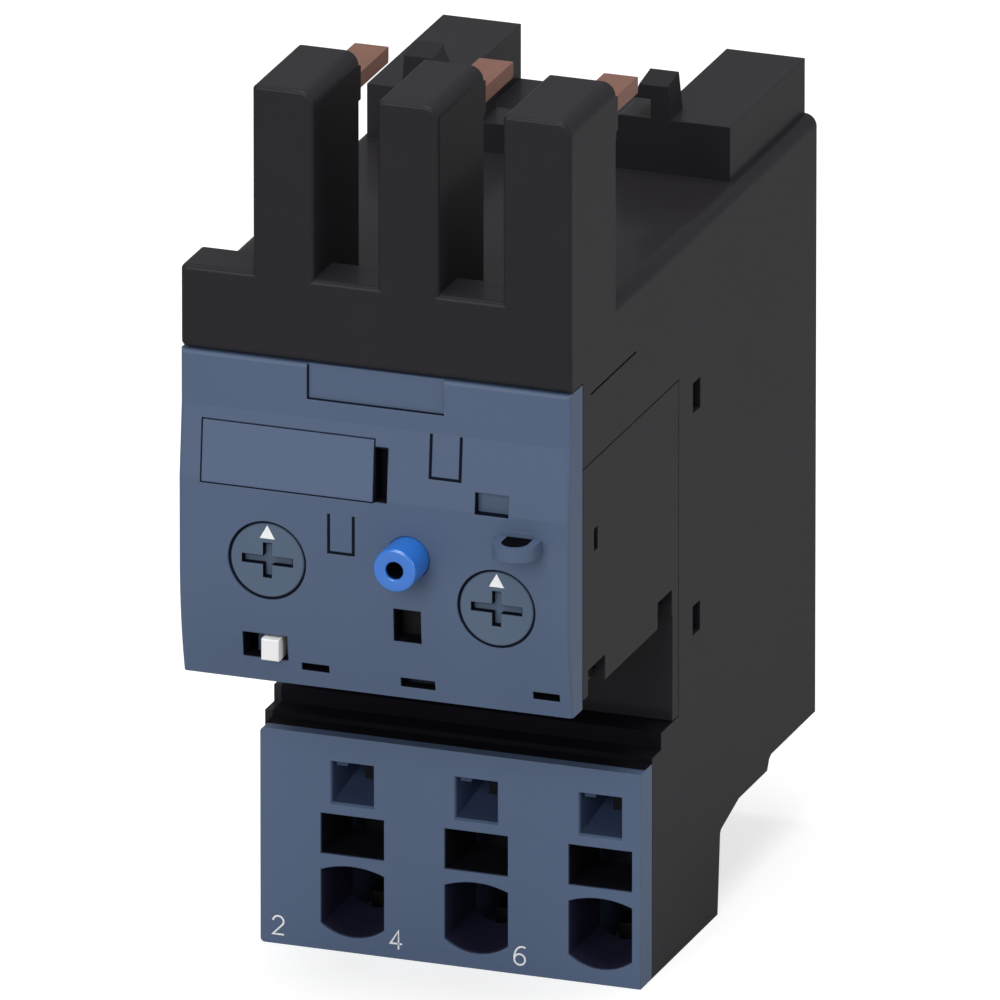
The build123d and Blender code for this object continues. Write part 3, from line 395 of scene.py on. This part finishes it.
def ring(centre, radius, count):
    # A whole circle, its first point not repeated
    return arc(centre, radius, 0, 360 * (count - 1) / count, count)


def rectangle(x0, x1, z0, z1):
    # The four corners, counterclockwise seen from the front
    return np.array([[x0, z0], [x1, z0], [x1, z1], [x0, z1]])


def paintedShadeLining(name, front, back, finish, wall=0.08, closedBack=False, body="housing"):
    # Painted shade: a dark lining of a passage. Front and back are (outline of (x, z) in millimetres, depth),
    # with as many points each. Its inner skin is the outline drawn towards the middle by the wall's share
    # of the half width.
    rings = []
    for (outline, depth), inner in ((front, 0), (back, 0), (back, 1), (front, 1)):
        middle = (outline.min(0) + outline.max(0)) / 2
        half = (outline.max(0) - outline.min(0)) / 2
        outline = middle + (outline - middle) * (1 - inner * wall / half)
        rings.append(placed(atDepth(outline, depth)))
    count = len(rings[0])
    faces = gridFaces(4, count, closedRows=True, closedColumns=True).tolist()
    if closedBack:
        faces.append(list(range(2 * count, 3 * count)))
    piece = meshFrom(name, np.concatenate(rings), faces, finish)
    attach(piece, body)


def fillPiece(name, near, far, finish, body="housing"):
    # A closed piece between two outlines of (x, y, z) in millimetres with as many points each
    count = len(near)
    faces = gridFaces(2, count, closedColumns=True).tolist()
    faces += [list(range(count)), list(range(count, 2 * count))]
    piece = meshFrom(name, placed([near, far]), faces, finish)
    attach(piece, body)


def uprightFill(name, outline, near, far, finish, body="housing"):
    # A fill between two depths of one upright outline
    fillPiece(name, atDepth(outline, near), atDepth(outline, far), finish, body)


# Printed marks

printing = {"thickness": 0.03 * mm, "sunk": 0.005 * mm, "stroke": 0.205 * mm, "mitre": 2, "secondStroke": 1.2,
            "digitHeight": 2.15 * mm, "baseline": 1.1 * mm, "lefts": (2.2 * mm, 15.95 * mm, 30.3 * mm)}


def strokePiece(name, path, plane, thickness, closed):
    # A stroke of even width: each point of the path is moved half the width to both sides along the mean of
    # its two neighbouring normals, up to the mitre's factor more at a corner, and the flat ribbon gets the
    # ink's thickness
    if closed:
        before, after = np.roll(path, 1, 0), np.roll(path, -1, 0)
    else:
        before = np.vstack([2 * path[0] - path[1], path[:-1]])
        after = np.vstack([path[1:], 2 * path[-1] - path[-2]])
    inward = path - before
    outward = after - path
    inward /= np.linalg.norm(inward, axis=1, keepdims=True)
    outward /= np.linalg.norm(outward, axis=1, keepdims=True)
    normal = np.stack([-(inward + outward)[:, 1], (inward + outward)[:, 0]], 1)
    normal /= np.linalg.norm(normal, axis=1, keepdims=True)
    inwardNormal = np.stack([-inward[:, 1], inward[:, 0]], 1)
    mitre = 1 / np.maximum(np.sum(normal * inwardNormal, 1), 1 / printing["mitre"])
    side = normal * (mitre * printing["stroke"] / 2)[:, None]
    section = [(path + side, 0), (path - side, 0), (path - side, thickness), (path + side, thickness)]
    rings = np.stack([np.column_stack([p[:, 0], np.full(len(p), plane - t), p[:, 1]]) for p, t in section], 1)
    piece = meshFrom(name, rings.reshape(-1, 3), sweepFaces(len(path), closed), "printingInk")
    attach(piece, "housing")


def digitStrokes(digit):
    # Strokes of a single-line figure in a box one unit high and 0.62 wide, each with whether it closes
    if digit == "2":
        head = arc((0.31, 0.70), 0.29, 172, -28, 18)
        return [(np.vstack([head, [[0.02, 0.0], [0.62, 0.0]]]), False)]
    if digit == "4":
        return [(np.array([[0.43, 0.0], [0.43, 1.0], [0.0, 0.30], [0.62, 0.30]]), False)]
    # the six is a closed bowl and a stem on the arc of an ellipse that leaves the bowl at its left
    bowl = ring((0.31, 0.30), 0.29, 36)
    stem = arc((0.45, 0.40), 0.43, 190, 66, 18, squash=1.39)
    return [(bowl, True), (stem, False)]


def printNumber(digit, left):
    # One terminal number; its second stroke is a little thicker, so that no two faces lie in one plane
    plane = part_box("terminal_block")[0].y + printing["sunk"]
    place = np.array([housingCorner.x + left, printing["baseline"]])
    for index, (stroke, closed) in enumerate(digitStrokes(digit)):
        thickness = printing["thickness"] * (printing["secondStroke"] if index else 1)
        strokePiece(f"marking_{digit}_{index + 1}", place + stroke * printing["digitHeight"], plane,
                    thickness, closed)


for digit, left in zip("246", printing["lefts"]):
    printNumber(digit, left)
print("terminal numbers printed")


# Dials

pointer = {"base": 1.74 * mm, "low": 2.5 * mm, "high": 4.04 * mm}


def dialPointer(name, body):
    # A printed triangle that points from the dial's centre to its rim, as thick as the ink
    low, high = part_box(body)
    centreX, centreZ = (low.x + high.x) / 2, (low.z + high.z) / 2
    front = low.y + printing["sunk"]
    half = pointer["base"] / 2
    corners = [(-half, pointer["low"]), (half, pointer["low"]), (0, pointer["high"])]
    points = [(centreX + x, front - t, centreZ + z) for t in (0, printing["thickness"]) for x, z in corners]
    faces = [(0, 2, 1), (3, 4, 5), (0, 1, 4, 3), (1, 2, 5, 4), (2, 0, 3, 5)]
    piece = meshFrom(name, points, faces, "printingInk")
    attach(piece, body)


dial = {"radius": 4.23, "holeRadius": 4.53, "gap": 0.03, "ringFront": -0.42, "ringBack": 1.2, "points": 72,
        "halfWidth": 0.525, "halfLength": 2.97, "halfHeight": 2.03, "skinFront": -0.59, "skinBack": 0.26,
        "skin": 0.06}


def dialShade(body):
    # Painted shade: a dark ring in the gap round the dial and a dark skin on the walls of its cross slot
    d = dial
    low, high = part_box(body)
    centre = np.array([(low.x + high.x) / 2 - housingCorner.x, (low.z + high.z) / 2]) / mm
    rim = ring(centre, d["holeRadius"] - d["gap"], d["points"])
    paintedShadeLining(f"{body}_painted_shade_ring", (rim, d["ringFront"]), (rim, d["ringBack"]), "paintedShadeGapNavy",
                d["holeRadius"] - d["radius"] - 2 * d["gap"])
    w, length, height = d["halfWidth"] - d["gap"], d["halfLength"] - d["gap"], d["halfHeight"] - d["gap"]
    cross = centre + np.array([
        (-length, -w), (-w, -w), (-w, -height), (w, -height), (w, -w), (length, -w),
        (length, w), (w, w), (w, height), (-w, height), (-w, w), (-length, w)])
    paintedShadeLining(f"{body}_slot_painted_shade", (cross, d["skinFront"]), (cross, d["skinBack"]), "paintedShadeGapNavy",
                d["skin"], body=body)


for name, body in (("current_pointer", "current_dial"), ("class_pointer", "class_dial")):
    dialPointer(name, body)
    dialShade(body)
print("dial pointers printed, dial gaps shaded")


# Reset button with rounded rims, and its coil spring

button = {"x": 26.5, "z": 55.8, "front": -5.05, "radius": 2.45, "rim": 0.32, "hole": 1.02, "holeRim": 0.14,
          "holeDepth": 4.2, "flangeFront": 2.06, "flangeRadius": 3.1, "flangeBack": 2.96, "stem": 1.2,
          "stemBack": 7.9, "axis": 0.02, "points": 96, "skinStart": 0.35, "skinEnd": 4.18, "skinRadius": 1.01,
          "skin": 0.03, "skinPoints": 24}


def resetButton():
    # A turned profile: hole with a rounded mouth, rounded front rim, barrel, flange and stem
    b = button
    profile = np.vstack([
        [[b["axis"], b["holeDepth"]], [b["hole"], b["holeDepth"]]],
        turn((b["hole"] + b["holeRim"], b["holeRim"]), b["holeRim"], 180, 270, 5),
        turn((b["radius"] - b["rim"], b["rim"]), b["rim"], -90, 0, 7),
        [[b["radius"], b["flangeFront"] - b["front"]], [b["flangeRadius"], b["flangeFront"] - b["front"]],
         [b["flangeRadius"], b["flangeBack"] - b["front"]], [b["stem"], b["flangeBack"] - b["front"]],
         [b["stem"], b["stemBack"] - b["front"]], [b["axis"], b["stemBack"] - b["front"]]]])
    piece = lathePiece("reset_button_turned", profile, at(b["x"], b["front"], b["z"]),
                       "signalBluePolycarbonate", b["points"])
    shadeByAngle(piece)
    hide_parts("reset_button")
    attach(piece, "reset_button")
    # Painted shade: a black skin inside the button's hole, closed at its back
    bore = ring((b["x"], b["z"]), b["skinRadius"], b["skinPoints"])
    paintedShadeLining("reset_button_hole_painted_shade", (bore, b["front"] + b["skinStart"]),
                (bore, b["front"] + b["skinEnd"]), "paintedShadeBlack", b["skin"],
                closedBack=True, body="reset_button")


spring = {"front": 3.01, "back": 10.35, "radius": 1.75, "wire": 0.2, "turns": 5.0, "deadTurns": 0.9,
          "places": 300, "sides": 10, "travel": 2.3}


def resetSpring():
    # A round wire on a helix round the button's stem, its end turns nearly flat; "wire" is the wire's radius
    s = spring
    count, sides = s["places"], s["sides"]
    t = np.linspace(0, 1, count)
    allTurns = s["turns"] + 2 * s["deadTurns"]
    angle = 2 * np.pi * allTurns * t
    ease = np.clip((t * allTurns - s["deadTurns"]) / s["turns"], 0, 1)
    run = s["back"] - s["front"] - 4 * s["wire"]
    depth = s["front"] + s["wire"] * (1 + 2 * t) + ease * (run - s["wire"])
    depth = np.minimum(depth, s["back"] - s["wire"])
    outward = np.stack([np.cos(angle), 0 * angle, np.sin(angle)], 1)
    line = np.array([button["x"], 0, button["z"]]) + s["radius"] * outward
    line[:, 1] = depth
    around = np.linspace(0, 2 * np.pi, sides, endpoint=False)
    rings = line[:, None] + s["wire"] * (np.cos(around)[None, :, None] * outward[:, None]
                                         + np.sin(around)[None, :, None] * np.array([0.0, 1.0, 0.0]))
    faces = gridFaces(count, sides, closedColumns=True).tolist()
    faces += [list(range(sides))[::-1], list(range((count - 1) * sides, count * sides))]
    piece = meshFrom("reset_spring_wire", placed(rings), faces, "springSteel", smooth=True)
    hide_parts("reset_spring")
    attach(piece, "housing")
    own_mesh(piece)


resetButton()
resetSpring()
print("reset button and spring turned")


# Painted shade: dark linings of the passages in the terminal block

passage = {"front": 22.5, "start": 0.3, "back": 29.9, "halfWidth": 3.7, "cornerLow": 3.05, "cornerHigh": 9.33,
           "low": 1.72, "high": 10.03, "driverLow": 11.18, "driverHigh": 15.92, "gap": 0.02, "taper": 0.9,
           "driverTaper": 0.4}
funnel = {"half": 2.54, "middle": 19.56, "throatHalf": 0.775, "throatShift": (0.2, 1.7), "depth": 5.0,
          "inside": 0.985, "end": 0.98, "wall": 0.05, "clear": 0.12, "tooth": (-1.9, -0.65),
          "toothHeight": 0.4, "toothDepth": (0.05, 0.7), "shadeLeft": 1.3, "shadeHeight": 1.6,
          "shadeDepth": (0.25, 0.3)}


def archedOutline(x, taper=0.0, count=11):
    # The conductor entry: upright sides joined by parabolas over the half width at the top and the bottom
    p = passage
    half = p["halfWidth"] - p["gap"] - taper
    t = np.linspace(-1, 1, count)
    rise = 1 - t ** 2
    low = p["cornerLow"] + taper - (p["cornerLow"] - p["low"] - p["gap"]) * rise
    high = p["cornerHigh"] - taper + (p["high"] - p["cornerHigh"] - p["gap"]) * rise
    return np.vstack([np.stack([x + half * t, low], 1), np.stack([x - half * t, high], 1)])


def columnMiddle(number):
    # From the housing's left side to the middle of a column of openings
    return (mountAt[f"conductor_entry_{number}"].x - housingCorner.x) / mm


def shadePassages(number):
    # Painted shade: dark linings of the conductor entry and the driver opening above it, both tapering
    # inwards
    p = passage
    x = columnMiddle(number)
    start = p["front"] + p["start"]
    paintedShadeLining(f"entry_painted_shade_{number}", (archedOutline(x), start),
                (archedOutline(x, p["taper"]), p["back"]), "paintedShadeEntryNavy")
    half = p["halfWidth"] - p["gap"]
    mouth = rectangle(x - half, x + half, p["driverLow"] + p["gap"], p["driverHigh"] - p["gap"])
    floor = rectangle(x - half + p["taper"], x + half - p["taper"],
                      p["driverLow"] + p["driverTaper"], p["driverHigh"] - p["driverTaper"])
    paintedShadeLining(f"driver_painted_shade_{number}", (mouth, start), (floor, p["back"]), "paintedShadeBlack")


def shadeFunnel(number):
    # Painted shade: a dark lining of the probe funnel, which narrows from a square to a small throat at its
    # top, with a darker tooth and a dark pocket at its top right
    f = funnel
    x = columnMiddle(number)
    start = passage["front"] + passage["start"]
    across, up = f["throatShift"]
    wide = rectangle(x - f["half"], x + f["half"], f["middle"] - f["half"], f["middle"] + f["half"])
    slim = rectangle(x + across - f["throatHalf"], x + across + f["throatHalf"],
                     f["middle"] + up - f["throatHalf"], f["middle"] + up + f["throatHalf"])
    share = passage["start"] / f["depth"]
    mouth = wide * (1 - share) + slim * share
    mouth = wide.mean(0) + (mouth - wide.mean(0)) * f["inside"]
    floor = wide * (1 - f["end"]) + slim * f["end"]
    paintedShadeLining(f"probe_painted_shade_{number}", (mouth, start), (floor, passage["front"] + f["depth"] * f["end"]),
                "paintedShadeFunnelNavy", f["wall"], closedBack=True)
    top = f["middle"] + f["half"] - f["clear"]
    left, right = f["tooth"]
    tooth = rectangle(x + left, x + right, top - f["toothHeight"], top)
    near, far = f["toothDepth"]
    uprightFill(f"probe_tooth_{number}", tooth, start + near, start + far, "paintedShadeGreyBlue")
    shade = rectangle(x + f["shadeLeft"], x + f["half"] - f["clear"], top - f["shadeHeight"], top)
    near, far = f["shadeDepth"]
    uprightFill(f"probe_shade_{number}", shade, start + near, start + far, "paintedShadeBlack")


for number in (1, 2, 3):
    shadePassages(number)
    shadeFunnel(number)
print("passages lined")


# Painted shade: dark sleeves and fills in the openings and slits of the cover

cover = {"bulge": 0.75, "flatLow": 52.0, "flatHigh": 62.0, "crease": 70.3, "bottom": 39.1, "setBack": 0.7,
         "plateBack": 2.0, "gap": 0.02, "sleeveSunk": 0.1, "fillSunk": 0.09, "sleeveWall": 0.05}
# left, right, low and high of each opening
sleeves = {"indicator": (24.8, 28.0, 46.0, 49.8), "selector": (7.2, 12.4, 41.95, 44.85),
           "left_vent": (13.9, 17.1, 41.0, 41.9), "middle_vent": (25.3, 29.3, 40.5, 41.6),
           "right_vent": (40.6, 43.7, 41.0, 41.9), "pry_slot": (22.6, 24.1, 61.7, 68.0)}
blindBack = {"pry_slot": 1.55}  # depth of the back of an opening that is blind


def coverFront(z):
    # Depth of the cover's face: an arc of a circle up to the flat middle, then a slope to the crease
    c = cover
    drop, back = c["flatLow"] - c["bottom"], c["bulge"] + c["setBack"]
    radius = (drop ** 2 + back ** 2) / (2 * back)
    low = radius - np.sqrt(radius ** 2 - np.maximum(c["flatLow"] - z, 0) ** 2)
    slope = np.clip((z - c["flatHigh"]) / (c["crease"] - c["flatHigh"]), 0, 1) * c["bulge"]
    return -c["bulge"] + low + slope


def shadeOpenings():
    # Painted shade: a dark sleeve in each opening, with a back where the opening is blind
    gap = cover["gap"]
    for label, (x0, x1, z0, z1) in sleeves.items():
        outline = rectangle(x0 + gap, x1 - gap, z0 + gap, z1 - gap)
        start = float(coverFront((z0 + z1) / 2)) + cover["sleeveSunk"]
        paintedShadeLining(f"{label}_painted_shade", (outline, start), (outline, blindBack.get(label, cover["plateBack"])),
                    "paintedShadeBlack", cover["sleeveWall"], closedBack=label in blindBack)


def shadeFill(name, x0, x1, z0, z1, back):
    # Painted shade: a dark fill that follows the cover's face a little behind it
    outline = rectangle(x0, x1, z0, z1)
    uprightFill(name, outline, coverFront(outline[:, 1]) + cover["fillSunk"], back, "paintedShadeGapNavy")


slits = {"width": 0.35, "back": 1.38, "gap": 0.02,
         "fields": {"upper": (28.8, 32.6, 65.1, 70.2), "lower": (17.2, 20.4, 55.2, 59.8)}}


def fillSlits():
    # Painted shade in the two U slits, each of two legs and a foot
    g, w, back = slits["gap"], slits["width"] - slits["gap"], slits["back"]
    for label, (x0, x1, z0, z1) in slits["fields"].items():
        shadeFill(f"{label}_slit_left", x0 + g, x0 + w, z0 + g, z1 - g, back)
        shadeFill(f"{label}_slit_right", x1 - w, x1 - g, z0 + g, z1 - g, back)
        shadeFill(f"{label}_slit_foot", x0 + w, x1 - w, z0 + g, z0 + w, back)


plateGap = {"clear": 0.015, "width": 0.165, "back": 0.98}


def fillPlateGap():
    # Painted shade in the gap round the label plate, on its left, its right and below it
    low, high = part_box("label_plate")
    left, right = (low.x - housingCorner.x) / mm, (high.x - housingCorner.x) / mm
    foot, head = low.z / mm, high.z / mm
    g, w, back = plateGap["clear"], plateGap["width"], plateGap["back"]
    shadeFill("plate_gap_left", left - w, left - g, foot - w, head, back)
    shadeFill("plate_gap_right", right + g, right + w, foot - w, head, back)
    shadeFill("plate_gap_foot", left - g, right + g, foot - w, foot - g, back)


recesses = {"clear": 0.01,
            "fields": {"tab": (14.6, 30.4, 72.4, 76.3), "window": (34.2, 38.1, 61.8, 64.3)},
            "back": {"tab": 0.34, "window": 0.29}, "width": {"tab": 0.13, "window": 0.08}}


def fillRecessEdges():
    # Painted shadow: a dark strip along the left side and the foot of each shallow recess
    for label, (x0, x1, z0, z1) in recesses["fields"].items():
        w, g, back = recesses["width"][label], recesses["clear"], recesses["back"][label]
        shadeFill(f"{label}_painted_shadow_left", x0 + g, x0 + w, z0 + g, z1, back)
        shadeFill(f"{label}_painted_shadow_foot", x0 + w, x1 - g, z0 + g, z0 + w, back)


sealPocket = {"x": 39.2, "z": 59.95, "radius": 1.61, "low": 58.62, "high": 60.28, "front": -0.72,
              "back": 0.86, "wall": 0.05}


def shadePocket():
    # Painted shade: a black lining of the pocket behind the seal loop, a circle cut off level at bottom and
    # top
    p = sealPocket
    ends = np.degrees(np.arcsin([(p["low"] - p["z"]) / p["radius"], (p["high"] - p["z"]) / p["radius"]]))
    pocket = np.vstack([arc((p["x"], p["z"]), p["radius"], ends[0], ends[1], 8),
                        arc((p["x"], p["z"]), p["radius"], 180 - ends[1], 180 - ends[0], 8)])
    paintedShadeLining("seal_pocket_painted_shade", (pocket, p["front"]), (pocket, p["back"]), "paintedShadeBlack",
                p["wall"], closedBack=True)


shadeOpenings()
fillSlits()
fillPlateGap()
fillRecessEdges()
shadePocket()
print("cover openings lined, slits and gaps filled")


# Seal loop, and painted shade on the selector, in the bay and in the block joint

sealLoop = {"x": 39.45, "radius": 2.47, "holeRadius": 1.5, "centre": -2.35, "root": -0.6, "top": 59.78,
            "rootLow": 57.95, "frontLow": 58.25, "insideRadius": 1.49, "insideTop": 59.74, "insideLow": 59.71,
            "lid": (37.45, 40.95, 59.76, 60.42), "lidProud": 0.015, "lidBack": -0.4}


def loopLine(radius):
    # A U in plan: from the cover forwards, half a turn round the front, and back
    s = sealLoop
    bend = arc((s["x"], s["centre"]), radius, 0, -180, 25)
    return np.vstack([[s["x"] + radius, s["root"]], bend, [s["x"] - radius, s["root"]]])


def makeSealLoop():
    # The seal loop, a little thicker at its root, with painted shade inside and a lid on the pocket behind it
    s = sealLoop
    outer, inner = loopLine(s["radius"]), loopLine(s["holeRadius"])
    share = (outer[:, 1] - s["root"]) / (s["centre"] - s["radius"] - s["root"])
    low = s["rootLow"] + (s["frontLow"] - s["rootLow"]) * share
    section = ((outer, s["top"]), (inner, s["top"]), (inner, low), (outer, low))
    rings = np.stack([np.column_stack([line, np.broadcast_to(height, len(line))])
                      for line, height in section], 1)
    piece = meshFrom("seal_loop", placed(rings), sweepFaces(len(outer)), "blueGreyPolyamide")
    shadeByAngle(piece)
    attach(piece, "housing")
    inside = loopLine(s["insideRadius"])
    fillPiece("seal_loop_painted_shade", np.column_stack([inside, np.full(len(inside), s["insideTop"])]),
              np.column_stack([inside, np.full(len(inside), s["insideLow"])]), "paintedShadeBoreBlack")
    lid = rectangle(*s["lid"])
    uprightFill("seal_pocket_lid", lid, coverFront(lid[:, 1]) - s["lidProud"], s["lidBack"],
                "blueGreyPolyamide")


shutter = {"front": 2.01, "back": 3.11, "low": 41.2, "high": 45.6,
           "left": (8.25, 9.68, "paintedShadeGreyBlue"), "right": (11.77, 13.2, "paintedShadeGapNavy")}


def modeShadeCaps():
    # Painted shade: dark caps on the selector's plate, left and right of its knob
    for side in ("left", "right"):
        x0, x1, finish = shutter[side]
        outline = rectangle(x0, x1, shutter["low"], shutter["high"])
        uprightFill(f"mode_painted_shade_{side}", outline, shutter["front"], shutter["back"], finish,
                    body="mode_slide")


bay = {"left": 0.86, "right": 44.94, "skin": 0.02,
       "line": ((24.0, 25.03), (26.17, 25.03), (26.17, 25.68), (29.02, 25.68), (29.02, 27.63), (34.3, 27.63))}


def bayShade():
    # Painted shade: a matt sheet on the steps between terminal block and module, so the bay swallows the
    # light
    rings = [[(x, y + skin, z - skin) for x, skin in
              ((bay["left"], 0), (bay["right"], 0), (bay["right"], bay["skin"]), (bay["left"], bay["skin"]))]
             for y, z in bay["line"]]
    piece = meshFrom("bay_painted_shade", placed(rings), sweepFaces(len(rings)), "paintedShadeBlack")
    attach(piece, "housing")


blockJoint = {"field": (44.22, 44.34, 0.1, 24.9), "front": 25.6, "back": 26.05}


def fillBlockJoint():
    # Painted shade: a dark strip in the joint between the terminal block's right side and the housing
    uprightFill("block_joint_painted_shade", rectangle(*blockJoint["field"]), blockJoint["front"], blockJoint["back"],
                "paintedShadeGapNavy")


makeSealLoop()
modeShadeCaps()
bayShade()
fillBlockJoint()
print("seal loop, shutters, bay lining and block joint made")


# Studio

# angles in degrees, lengths in metres, lens and sensor in millimetres
studio = {"azimuth": 20, "elevation": 20, "lens": 1500, "sensor": 36, "clip": (0.1, 50),
          "width": 109.17 * mm, "target": (0.875 * mm, 0, 49.2 * mm), "lampAim": 50 * mm, "floorHalf": 3.0,
          "paper": "#bababa", "paperRoughness": 0.9, "floorGlow": 0.68, "floorSheen": 0.03, "sky": 0.32,
          "skySheen": 0.4}
# power in watts
lamps = {"keyRight": {"azimuth": 80, "elevation": 14, "distance": 1.2, "size": 0.5, "power": 2.5},
         "frontFill": {"azimuth": -8, "elevation": 22, "distance": 1.5, "size": 0.8, "power": 9.9},
         "topSoft": {"azimuth": 10, "elevation": 84, "distance": 1.2, "size": 0.8, "power": 9.8}}


def direction(azimuth, elevation):
    # From the object towards a viewer or lamp: azimuth from the front to the right, elevation upwards
    a, e = math.radians(azimuth), math.radians(elevation)
    return Vector((math.sin(a) * math.cos(e), -math.cos(a) * math.cos(e), math.sin(e)))


def makeCamera():
    # A far camera with a long lens, so that the view is nearly free of perspective
    data = bpy.data.cameras.new("camera")
    data.lens = studio["lens"]
    data.sensor_width = studio["sensor"]
    camera = bpy.data.objects.new("camera", data)
    bpy.context.scene.collection.objects.link(camera)
    back = direction(studio["azimuth"], studio["elevation"])
    distance = studio["width"] * data.lens / data.sensor_width
    camera.location = Vector(studio["target"]) + back * distance
    camera.rotation_euler = (-back).to_track_quat("-Z", "Y").to_euler()
    data.clip_start, data.clip_end = studio["clip"]
    bpy.context.scene.camera = camera


def makeLamp(name, setting):
    # A square soft box that faces the middle of the object
    data = bpy.data.lights.new(name, "AREA")
    data.shape = "SQUARE"
    data.size = setting["size"]
    data.energy = setting["power"]
    lamp = bpy.data.objects.new(name, data)
    bpy.context.scene.collection.objects.link(lamp)
    towards = direction(setting["azimuth"], setting["elevation"])
    lamp.location = Vector((0, 0, studio["lampAim"])) + towards * setting["distance"]
    lamp.rotation_euler = towards.to_track_quat("Z", "Y").to_euler()


def seenLevel(tree, diffuse, glossy, seen):
    # One level for the light that falls on things, one for reflections and one for what the camera sees
    path = addNode(tree, "ShaderNodeLightPath")
    level = addNode(tree, "ShaderNodeMapRange", {"To Min": diffuse, "To Max": glossy},
                    {"Value": path.outputs["Is Glossy Ray"]})
    direct = addNode(tree, "ShaderNodeMath", {"operation": "MAXIMUM"},
                     {0: path.outputs["Is Camera Ray"], 1: path.outputs["Is Transmission Ray"]})
    mix = addNode(tree, "ShaderNodeMapRange", {"To Max": seen},
                  {"Value": direct.outputs["Value"], "To Min": level.outputs["Result"]})
    return mix.outputs["Result"]


def makeFloor():
    # Pale paper: a diffuse plane that glows a little towards the camera, so that it looks white and keeps the
    # soft shadow
    half = studio["floorHalf"]
    corners = [(-half, -half, 0), (half, -half, 0), (half, half, 0), (-half, half, 0)]
    mesh = bpy.data.meshes.new("floor")
    mesh.from_pydata(corners, [], [(0, 1, 2, 3)])
    floor = bpy.data.objects.new("floor", mesh)
    bpy.context.scene.collection.objects.link(floor)
    material = bpy.data.materials.new("paperSweep")
    material.use_nodes = True
    tree = material.node_tree
    shader = tree.nodes["Principled BSDF"]
    shader.inputs["Base Color"].default_value = hexColour(studio["paper"])
    shader.inputs["Roughness"].default_value = studio["paperRoughness"]
    shader.inputs["Emission Color"].default_value = (1, 1, 1, 1)
    glow = seenLevel(tree, 0.0, studio["floorSheen"], studio["floorGlow"])
    tree.links.new(glow, shader.inputs["Emission Strength"])
    mesh.materials.append(material)


def makeWorld():
    # An even dim sky, which the camera sees white
    world = bpy.data.worlds.new("studio")
    bpy.context.scene.world = world
    world.use_nodes = True
    tree = world.node_tree
    background = tree.nodes["Background"]
    tree.links.new(seenLevel(tree, studio["sky"], studio["skySheen"], 1.0), background.inputs["Strength"])
    background.inputs["Color"].default_value = (1, 1, 1, 1)


makeCamera()
for name, setting in lamps.items():
    makeLamp(name, setting)
makeFloor()
makeWorld()
bpy.context.scene.view_settings.view_transform = "Standard"
print("studio ready")
